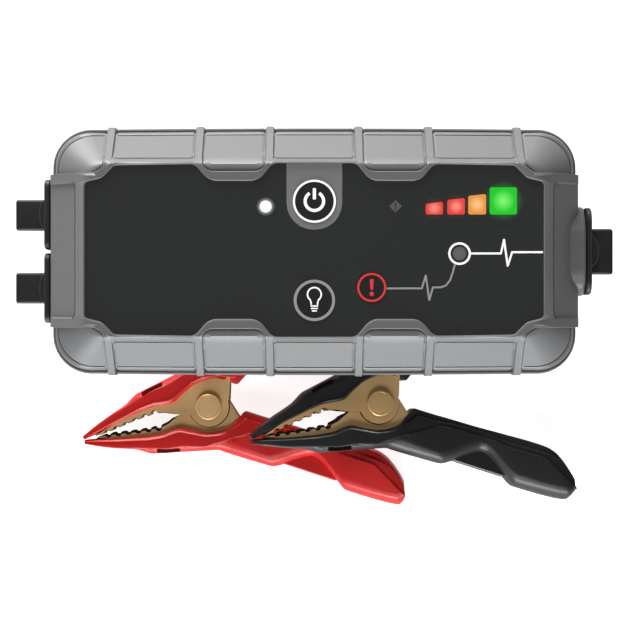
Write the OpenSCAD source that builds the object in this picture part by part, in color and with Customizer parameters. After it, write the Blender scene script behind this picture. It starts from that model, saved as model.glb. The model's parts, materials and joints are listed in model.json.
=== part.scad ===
// Jump starter pack with its two battery clamps.
// Units are millimetres, +Z is up and Z = 0 is the table that everything lies on.
// The case lies level on the clamps, control panel up; the origin is the centre of the footprint.

/* [Case] */
// Length of the case over its end frames
case_l = 162.3; // [150:0.1:190]
// Width of the case over its ribs
case_w = 77.2; // [76:0.2:88]
// Thickness of the case
case_t = 42; // [41:0.5:50]
// Height of the case's back above the table
case_lift = 23.5; // [23.5:0.5:34]
// Radius of the four corners, seen from above
corner_r = 12; // [9:0.5:16]
// How far each long side bows out at its middle
side_bow = 0.8; // [0:0.1:1.4]
// Half height of the upright band round the case
band_h = 6; // [4:0.5:8]
// Half height of the upright face at each end
end_band_h = 9; // [8.6:0.2:10]
// Width of the sloped flank between band and face
flank = 12; // [10:0.5:13]
// Wall of both shells
wall = 2.4; // [1.8:0.1:2.8]
// Wall under the front and back faces
face_wall = 3; // [2.6:0.1:3.4]
// Width of each raised end frame
end_w = 47.8; // [44:0.2:52]
// How far the end frames stand out past the corners
end_step = 0.25; // [0.1:0.05:2]

/* [Ribs and pockets] */
// Distance of each pair of ribs from the middle: inner, middle, outer
rib_places = [13.6, 35.1, 62.4];
// Width of a rib
rib_w = 2.6; // [1.8:0.1:3.6]
// Depth of the pockets between the ribs
pocket_depth = 1; // [0.5:0.1:1.3]
// Drop of the band between two ribs below the ribs
band_drop = 0.6; // [0.3:0.1:0.9]
// Distance of the shallow pockets' inner edge from the middle line
pocket_in = 28; // [27.6:0.1:29.5]
// Distance of the deep pockets' inner edge from the middle line
deep_pocket_in = 23.7; // [23.2:0.1:25]

/* [Face panel] */
// Length of the face panel
panel_l = 138.4; // [130:0.2:139]
// Width of the face panel at its middle
panel_w = 52.4; // [51.6:0.1:52.8]
// Width of the face panel at its ends
panel_end_w = 41.2; // [39.6:0.2:42.4]
// Half width of the panel where the deep pockets dip into it
panel_dip = 20.8; // [20.3:0.1:21.2]
// Thickness of the face panel
panel_t = 1.5; // [1.2:0.1:1.7]
// Depth of the panel's face below the frame round it
panel_sink = 0.5; // [0.3:0.1:0.7]

/* [Keys and lamps] */
// Radius of the power key
power_r = 6.6; // [5.4:0.1:7]
// Radius of the light key
light_r = 6.3; // [5:0.1:7]
// Radius of the override key
override_r = 4.5; // [3.5:0.1:5]
// Travel of a key
key_travel = 0.5; // [0.2:0.05:0.8]
// How far a key stands above the panel
key_proud = 0.15; // [0:0.05:0.4]
// Clearance round a key in the panel
key_gap = 0.1; // [0.05:0.01:0.2]
// Radius of the power lamp
power_lamp_r = 1.8; // [1.2:0.1:2.4]
// Radius of the boost lamp
boost_lamp_r = 2.05; // [1.4:0.05:2.4]
// Half diagonal of the warning lamp
warning_lamp_r = 1.9; // [1.4:0.1:2.4]

/* [Ports] */
// Reach of the cover tabs past the end frames
cover_reach = 11.4; // [8:0.2:13]
// Thickness of the covers' flanges
cover_t = 2; // [1.4:0.1:2.2]
// Length of a charging port's cover
usb_cover_l = 21.5; // [20:0.1:22]
// Height of a charging port's cover
usb_cover_h = 15; // [13:0.2:15.6]
// Distance between the centres of the two charging ports
usb_pitch = 22.6; // [22.4:0.1:24]
// Length of the outlet's bezel
outlet_l = 27.6; // [26:0.2:30]
// Height of the outlet's bezel
outlet_h = 22; // [20:0.2:23]
// How far the outlet's bezel stands out past the end frame
outlet_step = 2; // [1:0.1:2.6]
// Bore of each outlet contact
contact_bore = 5; // [4:0.1:5.2]
// Distance between the two outlet contacts
contact_pitch = 11; // [10:0.1:12]
// Depth of a contact's bore
contact_depth = 9; // [6:0.5:11]

/* [Clamps] */
// Distance from the rivet to the tip of the jaws
nose_l = 42.2; // [40:0.2:44]
// Distance from the rivet to the end of the handles, along the clamp
tail_l = 54; // [52:0.5:57]
// Half thickness of a grip at the tip
tip_half = 5; // [4.8:0.1:5.4]
// Half thickness of a grip at the rivet
hub_half = 5.8; // [5.6:0.1:6]
// Half thickness of a grip at its end
end_half = 9; // [8:0.1:9.4]
// Wall of a grip
grip_wall = 1; // [0.7:0.1:1.1]
// Radius of the opening in the grip round the rivet
eye_r = 8.4; // [7.6:0.1:9]
// Radius of the metal disc round the rivet
disc_r = 6.5; // [5.4:0.1:7]
// Thickness of the jaw plates
plate_t = 1; // [0.6:0.1:1]
// Radius of the rivet's shaft
rivet_r = 2.5; // [2:0.1:2.6]
// Radius of the rivet's heads
rivet_head_r = 4.1; // [3.6:0.1:4.6]
// Wire of the clamp spring
spring_wire = 0.8; // [0.5:0.05:0.9]
// Angle of the red clamp, seen from above
red_turn = 15.1; // [13:0.1:17]
// Angle of the black clamp, seen from above
black_turn = 15.6; // [14:0.1:17]
// Lean of the black clamp, whose jaws rest on the red one
black_lean = 10.8; // [10.8:0.1:13]

/* [Inside] */
// Size of a flat cell
cell_size = [96, 42, 7.4];
// Wall of the battery tray
tray_wall = 1.4; // [1:0.1:2]
// Thickness of the circuit board
board_t = 1.6; // [1:0.1:2]
// Depth of the circuit board's top below the front face
board_drop = 7.9; // [7.6:0.1:9]

/* [Hidden] */

sliver = 0.01;
fit = 0.1;
reach = 200;
arc_steps = 6;
curve_fn = 48;

// Colours
frame_grey = [0.46, 0.46, 0.46];
panel_black = [0.13, 0.13, 0.13];
inlay_grey = [0.4, 0.4, 0.4];
rubber_black = [0.09, 0.09, 0.09];
clamp_red = [0.72, 0.1, 0.1];
clamp_black = [0.1, 0.1, 0.11];
jaw_gold = [0.72, 0.58, 0.36];
steel = [0.6, 0.6, 0.62];

// Levels inside the case, measured from its middle plane
face_z = case_t / 2;
panel_z = face_z - panel_sink;
panel_low = panel_z - panel_t;
inner_z = face_z - face_wall;
board_z = face_z - board_drop;
half_l = case_l / 2;
corner_half = half_l - end_step;
rib_y = case_w / 2;
seat_gap = 0.1;
gasket_half = 0.5;

// Key places on the panel
power_at = [0, 14.7];
light_at = [0, -15.2];
override_at = [17.3, -11.3];
power_lamp_at = [-14.7, 13.1];
boost_at = [43.8, -1.1];
warning_at = [24.5, 13.2];
key_flange = 1;
flange_t = 0.9;
stem_r = 1.6;
stem_l = 1;

// Charge lamps: left, right, bottom, height at the left, height at the right
lamp_base = 10.7;
lamp_edges = [[33.6, 38.8, 3.2, 3.9], [40.1, 45.4, 4.4, 5], [46.4, 51.8, 5.6, 6.2], [52.9, 61.1, 8.2, 8.2]];

// Clamp places, measured from the middle of the case
red_at = [-34.2, -49.4];
black_at = [19.05, -48.3];
red_lean = -asin((end_half - tip_half) / (nose_l + tail_l));

// ---- Outline helpers ----

// Arc points that round the corner b between its neighbours a and c
function fillet(a, b, c, r) =
    let (
        u = (a - b) / norm(a - b),
        v = (c - b) / norm(c - b),
        half = acos(max(-1, min(1, u * v))) / 2,
        m = b + (u + v) / norm(u + v) * r / sin(half),
        from = b + u * r / tan(half) - m,
        to = b + v * r / tan(half) - m,
        a0 = atan2(from[1], from[0]),
        da = atan2(to[1], to[0]) - a0,
        turn = da > 180 ? da - 360 : da < -180 ? da + 360 : da
    )
    [for (i = [0 : arc_steps]) m + r * [cos(a0 + turn * i / arc_steps), sin(a0 + turn * i / arc_steps)]];

// Rounds a closed outline whose points are [x, y, radius]
function rounded(p) =
    [for (i = [0 : len(p) - 1])
        let (
            n = len(p),
            a = p[(i + n - 1) % n],
            c = p[(i + 1) % n]
        )
        each p[i][2] > 0
            ? fillet([a[0], a[1]], [p[i][0], p[i][1]], [c[0], c[1]], p[i][2])
            : [[p[i][0], p[i][1]]]];

function box_points(l, w, r) = rounded([[-l / 2, -w / 2, r], [l / 2, -w / 2, r], [l / 2, w / 2, r], [-l / 2, w / 2, r]]);

// Outline of the case: a rounded rectangle whose long sides bow out
function quarter(cx, cy, r, a0) = [for (i = [0 : arc_steps]) [cx, cy] + r * [cos(a0 + 90 * i / arc_steps), sin(a0 + 90 * i / arc_steps)]];
bow_steps = 10;
function bowed_side(half, w, bow, side) =
    [for (i = [1 : bow_steps - 1]) let (u = 1 - 2 * i / bow_steps) [side * half * u, side * (w / 2 - bow * u * u)]];
function case_ring(l, w, r, bow) =
    let (hx = l / 2 - r, hy = w / 2 - bow - r)
    concat(
        quarter(hx, hy, r, 0), bowed_side(hx, w, bow, 1), quarter(-hx, hy, r, 90),
        quarter(-hx, -hy, r, 180), bowed_side(hx, w, bow, -1), quarter(hx, -hy, r, 270)
    );

// ---- Case ----

// Upper half of the case form, drawn in by inset on every side
module half_form(l, band, inset) {
    hull() {
        linear_extrude(band) polygon(case_ring(l - 2 * inset, case_w - 2 * inset, corner_r - inset, side_bow));
        translate([0, 0, face_z - inset - sliver])
            linear_extrude(sliver)
                polygon(case_ring(l - 2 * flank - 2 * inset, case_w - 2 * flank - 2 * inset, corner_r / 2, side_bow / 2));
    }
}

// Pocket outlines on one long side
module side_pockets() {
    for (side = [-1, 1]) {
        inner = rib_places[0] + rib_w / 2;
        mid_in = rib_places[1] - rib_w / 2;
        mid_out = rib_places[1] + rib_w / 2;
        outer = rib_places[2] - rib_w / 2;
        polygon(rounded([[side * inner, deep_pocket_in, 3.2], [side * mid_in, deep_pocket_in, 3.2],
            [side * mid_in, rib_y + 2, 0], [side * inner, rib_y + 2, 0]]));
        polygon(rounded([[side * mid_out, pocket_in, 1.4], [side * outer, pocket_in, 1.4],
            [side * outer, rib_y + 2, 0], [side * mid_out, rib_y + 2, 0]]));
        corner_in = rib_places[2] + rib_w / 2;
        polygon(rounded([[side * corner_in, rib_y + 2, 0], [side * corner_in, pocket_in + 1.2, 1.4],
            [side * (corner_in + 3.2), end_w / 2 + 2.4, 1.4], [side * (half_l + 2), end_w / 2 + 2.4, 0],
            [side * (half_l + 2), rib_y + 2, 0]]));
    }
    first = rib_places[0] - rib_w / 2;
    polygon(rounded([[-first, pocket_in, 1.4], [first, pocket_in, 1.4], [first, rib_y + 2, 0], [-first, rib_y + 2, 0]]));
}

end_pocket_in = half_l - 9.7;
end_pocket_out = half_l - 2.6;
module end_pocket() {
    polygon(rounded([[end_pocket_in, -20.6, 1.6], [end_pocket_out, -20.6, 1.6],
        [end_pocket_out, 20.6, 1.6], [end_pocket_in, 20.6, 1.6]]));
}

// Everything that stays at the level of the frame, seen from above
module frame_plan() {
    difference() {
        square([2 * reach, 2 * reach], center = true);
        side_pockets();
        mirror([0, 1]) side_pockets();
        end_pocket();
        mirror([1, 0]) end_pocket();
    }
}

module half_outside() {
    half_form(2 * corner_half, band_h, pocket_depth);
    intersection() {
        half_form(2 * corner_half, band_h, 0);
        linear_extrude(reach) frame_plan();
    }
    intersection() {
        half_form(2 * corner_half, band_h, band_drop);
        linear_extrude(band_h - 1.5) square([2 * reach, 2 * reach], center = true);
    }
    intersection() {
        half_form(case_l, end_band_h, 0);
        linear_extrude(reach)
            intersection() {
                frame_plan();
                difference() {
                    square([2 * reach, end_w], center = true);
                    square([2 * (half_l - flank), end_w + 2], center = true);
                }
            }
    }
    intersection() {
        half_form(case_l, end_band_h, pocket_depth);
        linear_extrude(reach) square([2 * reach, end_w], center = true);
    }
}

usb_hole = [45.4, 14.6];
module half_hollow() {
    skin = pocket_depth + wall;
    translate([0, 0, skin - face_wall]) half_form(2 * corner_half, band_h, skin);
    translate([0, 0, -1])
        linear_extrude(band_h)
            polygon(case_ring(2 * corner_half - 2 * skin, case_w - 2 * skin, corner_r - skin, side_bow));
}

// Openings in both shells at the two ends
module end_holes() {
    translate([-half_l - 1, -usb_hole[0] / 2, -usb_hole[1] / 2]) cube([12, usb_hole[0], usb_hole[1]]);
    translate([half_l - 12, 0, 0]) outlet_prism(0, 20);
}

module gasket_groove() {
    linear_extrude(2 * gasket_half, center = true)
        polygon(case_ring(case_l + 4, case_w + 4, corner_r, side_bow));
}

screw_in = [20.9, 19.6];
screw_x = corner_half - screw_in[0];
screw_y = rib_y - screw_in[1];
screw_at = [[-screw_x, screw_y], [screw_x, screw_y], [-screw_x, -screw_y], [screw_x, -screw_y]];
screw_r = 1.5;
screw_head_r = 2.8;
screw_head_h = 2;
boss_r = 3.6;

module shell_bosses(low, high) {
    for (p = screw_at) translate([p[0], p[1], low]) cylinder(r = boss_r, h = high - low, $fn = curve_fn);
}

module front_shell() {
    color(frame_grey)
        difference() {
            union() {
                difference() {
                    half_outside();
                    half_hollow();
                }
                intersection() {
                    half_form(2 * corner_half, band_h, pocket_depth);
                    shell_bosses(gasket_half, inner_z);
                }
            }
            gasket_groove();
            translate([0, 0, panel_low])
                linear_extrude(reach)
                    polygon(panel_points(-fit));
            translate([0, 0, inner_z - 0.5])
                linear_extrude(reach)
                    polygon(panel_points(2));
            end_holes();
            for (p = screw_at) translate([p[0], p[1], 0]) cylinder(r = screw_r - fit, h = 14, $fn = curve_fn);
        }
}

module rear_shell() {
    color(frame_grey)
        difference() {
            mirror([0, 0, 1])
                union() {
                    difference() {
                        half_outside();
                        half_hollow();
                    }
                    intersection() {
                        half_form(2 * corner_half, band_h, pocket_depth);
                        shell_bosses(gasket_half, inner_z + 0.5);
                    }
                }
            gasket_groove();
            end_holes();
            translate([0, 0, -face_z - 1])
                linear_extrude(1.6)
                    polygon(box_points(case_l - 58, case_w - 2 * flank - 16, 4));
            for (p = screw_at) {
                translate([p[0], p[1], -face_z]) cylinder(r = screw_r + fit, h = face_z, $fn = curve_fn);
                translate([p[0], p[1], -face_z - 1]) cylinder(r = screw_head_r + fit, h = screw_head_h + 3, $fn = curve_fn);
            }
        }
}

module case_gasket() {
    color(rubber_black)
        difference() {
            linear_extrude(2 * gasket_half, center = true)
                difference() {
                    polygon(case_ring(2 * corner_half - 3, case_w - 3.4, corner_r - 1.5, side_bow));
                    polygon(case_ring(2 * corner_half - 2 * (pocket_depth + wall), case_w - 2 * (pocket_depth + wall),
                        corner_r - pocket_depth - wall, side_bow));
                }
            end_holes();
        }
}

module case_screws() {
    color(steel)
        for (p = screw_at)
            translate([p[0], p[1], -face_z + 1.9]) {
                cylinder(r = screw_head_r, h = screw_head_h, $fn = curve_fn);
                cylinder(r = screw_r - 2 * fit, h = face_z + 8, $fn = curve_fn);
            }
}

// ---- Face panel, keys and lamps ----

// Outline of the panel, drawn in by inset: stepped ends, two dips on each long side
dip_at = (rib_places[0] + rib_places[1]) / 2;
dip_top = 11.8;
dip_low = 7.4;
function half_panel(i) = [
    [panel_l / 2 - i, panel_end_w / 2 - i, 1.2],
    [panel_l / 2 - 5.4 - i, panel_end_w / 2 + 1 - i, 1.2],
    [panel_l / 2 - 8.8 - i, panel_w / 2 - 0.7 - i, 1],
    [dip_at + dip_top + i, panel_w / 2 - 0.3 - i, 0.8],
    [dip_at + dip_low + i, panel_dip - i, 3],
    [dip_at - dip_low - i, panel_dip - i, 3],
    [dip_at - dip_top - i, panel_w / 2 - i, 0.8]
];
function turned(p, sx, sy) = [for (q = p) [sx * q[0], sy * q[1], q[2]]];
function backwards(p) = [for (i = [len(p) - 1 : -1 : 0]) p[i]];
function panel_points(i) = rounded(concat(
    half_panel(i), backwards(turned(half_panel(i), -1, 1)),
    turned(half_panel(i), -1, -1), backwards(turned(half_panel(i), 1, -1))
));

inlay_half = 8.45;
inlay_tip = 6.1;
function inlay_points(grow) = rounded([
    [-inlay_half - grow, panel_w / 2 + 1, 0], [-inlay_half - grow, inlay_tip - grow, inlay_half * 0.95],
    [inlay_half + grow, inlay_tip - grow, inlay_half * 0.95], [inlay_half + grow, panel_w / 2 + 1, 0]
]);
inlay_t = 0.5;

function lamp_points(e, grow) = rounded([
    [e[0] - grow, lamp_base - grow, 0.6], [e[1] + grow, lamp_base - grow, 0.6],
    [e[1] + grow, lamp_base + e[3] + grow, 0.6], [e[0] - grow, lamp_base + e[2] + grow, 0.6]
]);
lamp_gap = 0.05;

module face_panel() {
    color(panel_black)
        difference() {
            translate([0, 0, panel_low]) linear_extrude(panel_t) polygon(panel_points(0));
            translate([0, 0, panel_z - inlay_t]) linear_extrude(2) polygon(inlay_points(0));
            key_hole(power_at, power_r);
            key_hole(light_at, light_r);
            key_hole(override_at, override_r);
            lamp_hole(power_lamp_at, power_lamp_r);
            lamp_hole(boost_at, boost_lamp_r);
            translate([0, 0, panel_low - 1]) linear_extrude(panel_t + 2) warning_shape(lamp_gap);
            for (e = lamp_edges)
                translate([0, 0, panel_low - 1]) linear_extrude(panel_t + 2) polygon(lamp_points(e, lamp_gap));
        }
}

module key_hole(at, r) {
    translate([at[0], at[1], panel_low - 1]) cylinder(r = r + key_gap, h = panel_t + 2, $fn = curve_fn);
}

module lamp_hole(at, r) {
    translate([at[0], at[1], panel_low - 1]) cylinder(r = r + lamp_gap, h = panel_t + 2, $fn = curve_fn);
}

module warning_shape(grow) {
    translate(warning_at) rotate(45) square(sqrt(2) * (warning_lamp_r + grow), center = true);
}

module power_inlay() {
    color(inlay_grey)
        difference() {
            translate([0, 0, panel_z - inlay_t + sliver])
                linear_extrude(inlay_t)
                    intersection() {
                        polygon(inlay_points(-lamp_gap));
                        polygon(panel_points(lamp_gap));
                    }
            key_hole(power_at, power_r);
        }
}

// A key: cap in the panel's bore, flange under the panel, stem above its switch
module key(at, r) {
    translate([at[0], at[1], 0]) {
        translate([0, 0, panel_low - seat_gap - flange_t])
            cylinder(r = r + key_flange, h = flange_t, $fn = curve_fn);
        translate([0, 0, panel_low - seat_gap])
            cylinder(r = r, h = panel_t + seat_gap + key_proud, $fn = curve_fn);
        translate([0, 0, panel_low - seat_gap - flange_t - stem_l])
            cylinder(r = stem_r, h = stem_l, $fn = curve_fn);
    }
}

module power_key() { color(panel_black) key(power_at, power_r); }
module light_key() { color(panel_black) key(light_at, light_r); }
module override_key() { color(panel_black) key(override_at, override_r); }

lamp_proud = 0.05;
lamp_deep = 1.2;
module lamp_body() {
    translate([0, 0, panel_low - lamp_deep]) linear_extrude(panel_t + lamp_deep + lamp_proud) children();
}

module round_lamp(at, r) {
    translate([at[0], at[1], panel_low - lamp_deep])
        cylinder(r = r, h = panel_t + lamp_deep + lamp_proud, $fn = curve_fn);
}

module power_lamp() { color("white") round_lamp(power_lamp_at, power_lamp_r); }
module boost_lamp() { color("gray") round_lamp(boost_at, boost_lamp_r); }
module warning_lamp() { color("dimgray") lamp_body() warning_shape(0); }
module charge_lamp(i) { lamp_body() polygon(lamp_points(lamp_edges[i], 0)); }

// ---- Ports ----

cover_gap = 0.5;
plug_deep = 2;
usb_recess = [14.5, 8, 2.6];
usb_in_recess = [12, 7, 2.6];
usb_plate_t = 6;
usb_out_body = [13.2, 5.9, 14.2];
usb_in_body = [8, 3, 9];
usb_shell_t = 0.4;
hinge_r = 0.8;
tab_t = 3;

// Turns a shape drawn in the plane of an end face (y, z) into the case frame
module on_end(x) {
    translate([x, 0, 0]) rotate([90, 0, 90]) children();
}

module usb_plate() {
    color(panel_black)
        difference() {
            on_end(-half_l) linear_extrude(usb_plate_t)
                polygon(box_points(usb_hole[0] - 2 * fit, usb_hole[1] - 2 * fit, 1));
            for (p = [[usb_pitch / 2, usb_recess], [-usb_pitch / 2, usb_in_recess]])
                translate([0, p[0], 0])
                    on_end(-half_l - 1) linear_extrude(p[1][2] + 1) polygon(box_points(p[1][0], p[1][1], 1));
            translate([0, usb_pitch / 2, 0])
                on_end(-half_l) linear_extrude(10) square([usb_out_body[0] + 2 * lamp_gap, usb_out_body[1] + 2 * lamp_gap], center = true);
            translate([0, -usb_pitch / 2, 0])
                on_end(-half_l) linear_extrude(10) square([usb_in_body[0] + 2 * lamp_gap, usb_in_body[1] + 2 * lamp_gap], center = true);
        }
}

// Metal shell with a tongue inside
module usb_socket(at_y, size, from) {
    translate([0, at_y, 0]) {
        difference() {
            on_end(-half_l + from) linear_extrude(size[2]) square([size[0], size[1]], center = true);
            on_end(-half_l + from - 1)
                linear_extrude(size[2] - 0.5)
                    square([size[0] - 2 * usb_shell_t, size[1] - 2 * usb_shell_t], center = true);
        }
        translate([0, 0, -size[1] / 4])
            on_end(-half_l + from + 1) linear_extrude(size[2] - 1.2) square([size[0] * 0.8, size[1] / 4], center = true);
    }
}

module usb_out_socket() { color(steel) usb_socket(usb_pitch / 2, usb_out_body, usb_recess[2]); }
module usb_in_socket() { color(steel) usb_socket(-usb_pitch / 2, usb_in_body, usb_in_recess[2]); }

// A rubber cover drawn for the left end: flange, shallow plug, pull tab with its boss, hinge roll
module cover(length, height, plug, plug_r, tab_w, out, boss_w, boss_out) {
    boss_r = (boss_w * boss_w / 4 + boss_out * boss_out) / (2 * boss_out);
    translate([-cover_t, 0, 0]) {
        on_end(0) linear_extrude(cover_t - seat_gap) polygon(box_points(length, height, 2.4));
        on_end(cover_t - seat_gap - sliver) linear_extrude(plug_deep)
            polygon(box_points(plug[0] - 2 * cover_gap, plug[1] - 2 * cover_gap, plug_r));
        translate([-out + cover_t, -tab_w / 2, -tab_t / 2]) cube([out - cover_t + sliver, tab_w, tab_t]);
        intersection() {
            translate([boss_r - boss_out, 0, 0]) cylinder(r = boss_r, h = height / 2 - 1.5, $fn = 2 * curve_fn);
            translate([-boss_out, -boss_w, 0]) cube([boss_out + sliver, 2 * boss_w, height]);
        }
        translate([cover_t / 2 - seat_gap / 2, length * 0.3, -height / 2 - hinge_r + 0.3])
            rotate([90, 0, 0]) cylinder(r = hinge_r, h = length * 0.6, $fn = curve_fn);
    }
}

usb_tab_w = 9.6;
module usb_cover(at_y, plug) {
    translate([-half_l - sliver, at_y, 0]) cover(usb_cover_l, usb_cover_h, plug, 0.8, usb_tab_w, cover_reach, usb_tab_w, 1.8);
}

module usb_out_cover() { color(rubber_black) usb_cover(usb_pitch / 2, usb_recess); }
module usb_in_cover() { color(rubber_black) usb_cover(-usb_pitch / 2, usb_in_recess); }

outlet_face = half_l + outlet_step;
outlet_mouth = [20, 11.6];
outlet_mouth_deep = 6.6;
socket_l = 12;
contact_wall = 0.7;

module outlet_prism(grow, length) {
    on_end(0) linear_extrude(length) polygon(box_points(outlet_l + 2 * grow, outlet_h + 2 * grow, 9));
}

module outlet_bezel() {
    color(frame_grey)
        difference() {
            translate([half_l - 12 + fit, 0, 0]) outlet_prism(-fit, outlet_step + 12 - fit);
            on_end(outlet_face - outlet_mouth_deep) linear_extrude(10) polygon(box_points(outlet_mouth[0], outlet_mouth[1], 3));
            on_end(0) linear_extrude(100) square([outlet_mouth[0] - 2, outlet_mouth[1] - 2], center = true);
        }
}

module outlet_socket() {
    color(panel_black)
        difference() {
            on_end(outlet_face - outlet_mouth_deep - socket_l) linear_extrude(socket_l)
                square([outlet_mouth[0] - 2 - 2 * fit, outlet_mouth[1] - 2 - 2 * fit], center = true);
            for (side = [-1, 1])
                translate([outlet_face - outlet_mouth_deep - socket_l + 1, side * contact_pitch / 2, 0])
                    rotate([0, 90, 0]) cylinder(r = contact_bore / 2 + contact_wall, h = socket_l, $fn = curve_fn);
        }
}

module outlet_contacts() {
    color(jaw_gold)
        for (side = [-1, 1])
            translate([outlet_face - outlet_mouth_deep - socket_l + 1, side * contact_pitch / 2, 0])
                rotate([0, 90, 0])
                    difference() {
                        cylinder(r = contact_bore / 2 + contact_wall - 0.02, h = socket_l - 1, $fn = curve_fn);
                        translate([0, 0, socket_l - 1 - contact_depth])
                            cylinder(r = contact_bore / 2, h = contact_depth + 1, $fn = curve_fn);
                    }
}

outlet_tab_w = 14.2;
module outlet_cover() {
    color(rubber_black)
        translate([outlet_face + sliver, 0, 0])
            mirror([1, 0, 0])
                cover(outlet_l - 0.8, outlet_h - 2, outlet_mouth, 3, outlet_tab_w, cover_reach - outlet_step, 10, 2.4);
}

// ---- Inside ----

tray_l = cell_size[0] + 2 * tray_wall + 1;
tray_w = cell_size[1] + 2 * tray_wall + 0.6;
tray_low = -inner_z;
board_low = board_z - board_t;
post_r = 3;
post_out = 6.1;
post_x = tray_l / 2 + post_out;
post_at = [[-post_x, 6], [post_x, 6], [-post_x, -6], [post_x, -6]];
board_rim = 6;
board_size = [2 * (post_x + board_rim), 44];
boss_gap = 0.4;

module battery_tray() {
    color("dimgray") {
        difference() {
            translate([-tray_l / 2, -tray_w / 2, tray_low]) cube([tray_l, tray_w, board_low - tray_low - 1]);
            translate([-tray_l / 2 + tray_wall, -tray_w / 2 + tray_wall, tray_low + tray_wall])
                cube([tray_l - 2 * tray_wall, tray_w - 2 * tray_wall, reach]);
            for (p = screw_at)
                translate([p[0], p[1], tray_low - 1]) cylinder(r = boss_r + boss_gap, h = board_low - tray_low + 2, $fn = curve_fn);
        }
        for (p = post_at) {
            difference() {
                union() {
                    translate([p[0], p[1], tray_low]) cylinder(r = post_r, h = board_low - tray_low, $fn = curve_fn);
                    translate([p[0] > 0 ? tray_l / 2 - tray_wall : p[0], p[1] - 1.5, tray_low])
                        cube([abs(p[0]) - tray_l / 2 + tray_wall, 3, board_low - tray_low - 2]);
                }
                translate([p[0], p[1], board_low - 8]) cylinder(r = 0.9, h = 9, $fn = curve_fn);
            }
        }
    }
}

module cell(i) {
    color("silver")
        translate([0, 0, tray_low + tray_wall + 0.1 + cell_size[2] / 2 + i * (cell_size[2] + 0.3)])
            rotate([90, 0, 90])
                linear_extrude(cell_size[0], center = true)
                    polygon(box_points(cell_size[1], cell_size[2], 2.4));
}

link_t = 0.3;
module cell_links() {
    pitch = cell_size[2] + 0.3;
    first = tray_low + tray_wall + 0.1 + cell_size[2] / 2;
    color(steel) {
        for (i = [0, 1])
            translate([(i == 0 ? -1 : 1) * (cell_size[0] / 2 + link_t / 2 + 0.02), 0, first + (i + 0.5) * pitch])
                cube([link_t, 14, pitch + 3], center = true);
        translate([-cell_size[0] / 2 - link_t / 2 - 0.02, 12, (first + 2 * pitch - 2 + board_low) / 2])
            cube([link_t, 6, board_low - first - 2 * pitch + 2], center = true);
        translate([cell_size[0] / 2 + link_t / 2 + 0.02, -12, (first + board_low) / 2])
            cube([link_t, 6, board_low - first], center = true);
    }
}

module circuit_board() {
    color("darkgreen")
        difference() {
            translate([0, 0, board_low]) linear_extrude(board_t) polygon(box_points(board_size[0], board_size[1], 2));
            for (p = post_at) translate([p[0], p[1], board_low - 1]) cylinder(r = 1.2, h = board_t + 2, $fn = curve_fn);
            for (p = screw_at) translate([p[0], p[1], board_low - 1]) cylinder(r = boss_r + boss_gap, h = board_t + 2, $fn = curve_fn);
        }
}

module board_screws() {
    color(steel)
        for (p = post_at)
            translate([p[0], p[1], 0]) {
                translate([0, 0, board_z]) cylinder(r = 2, h = 1.2, $fn = curve_fn);
                translate([0, 0, board_z - 7]) cylinder(r = 0.85, h = 7.1, $fn = curve_fn);
            }
}

switch_size = 6;
module key_switches() {
    gap = key_travel + seat_gap;
    top = panel_low - seat_gap - flange_t - stem_l - gap;
    color("silver")
        for (p = [power_at, light_at, override_at])
            translate([p[0], p[1], board_z]) {
                translate([-switch_size / 2, -switch_size / 2, 0]) cube([switch_size, switch_size, (top - board_z) * 0.7]);
                cylinder(r = 1.7, h = top - board_z, $fn = curve_fn);
            }
}

// Relay, inductor, capacitors and driver chips that stand on the board
module board_parts() {
    color([0.15, 0.15, 0.17]) {
        translate([-52, -8, board_z]) cube([16, 15, 4]);
        translate([-30, -9, board_z]) cube([10, 10, 3.6]);
        translate([27, -12, board_z]) cube([9, 9, 1.4]);
        translate([-32, 7, board_z]) cube([7, 5, 1.2]);
        for (i = [0 : 3]) translate([40 + 4.4 * i, -15, board_z]) cylinder(r = 1.9, h = 3.8, $fn = curve_fn);
        for (e = lamp_edges) translate([(e[0] + e[1]) / 2 - 1.2, lamp_base + 0.6, board_z]) cube([2.4, 2.4, 1.1]);
        for (p = [power_lamp_at, boost_at, warning_at]) translate([p[0] - 1.2, p[1] - 1.2, board_z]) cube([2.4, 2.4, 1.1]);
    }
}

// ---- Clamps ----
// An arm is drawn in its own frame: rivet at the origin, nose towards -X, clamp axis along X.
// The upper arm lies on the +Y side; the lower arm is its mirror image.

nose_k = nose_l / 42.2;
tail_k = tail_l / 54;
grip_points = rounded([
    [-42.2 * nose_k, 0.3, 0.05], [-41.9 * nose_k, 1.3, 0.4], [-26.5, 7, 6], [-11, 11, 12], [-1, 13.4, 3],
    [15, 23.4, 3], [20, 24.3, 4], [27.6, 24.1, 2.5], [30.6, 25.6, 1.5], [33 * tail_k, 30.4, 4],
    [37.4 * tail_k, 38.2, 4], [53.2 * tail_k, 47.4, 1.5], [55.4 * tail_k, 45.6, 1.2],
    [55.8 * tail_k, 42.6, 3], [49.8 * tail_k, 30, 6], [11.2, 6.1, 1.2], [8.4, 5.4, 0.3],
    [-7.4, 4.9, 0.5], [-10.6, 3.9, 2], [-20, 3.7, 6], [-30, 3, 8], [-37, 1.1, 4]
]);

// Ridge along the back of the jaw
ridge_half = 3;
ridge_points = rounded([[-27, 6, 0.5], [-22.8, 10, 1.2], [-10.8, 12.6, 3], [-1, 14.6, 3], [14, 23.6, 1], [10, 14, 1], [-10, 6, 1]]);

function thick_profile(drop) = [
    [-60, tip_half - drop], [-nose_l, tip_half - drop], [-12, hub_half - drop], [34, hub_half - drop],
    [tail_l, end_half - drop], [tail_l + 20, end_half - drop]
];
module thickness(drop) {
    p = thick_profile(drop);
    rotate([90, 0, 0])
        linear_extrude(2 * reach, center = true)
            polygon(concat(p, [for (i = [len(p) - 1 : -1 : 0]) [p[i][0], -p[i][1]]]));
}

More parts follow.
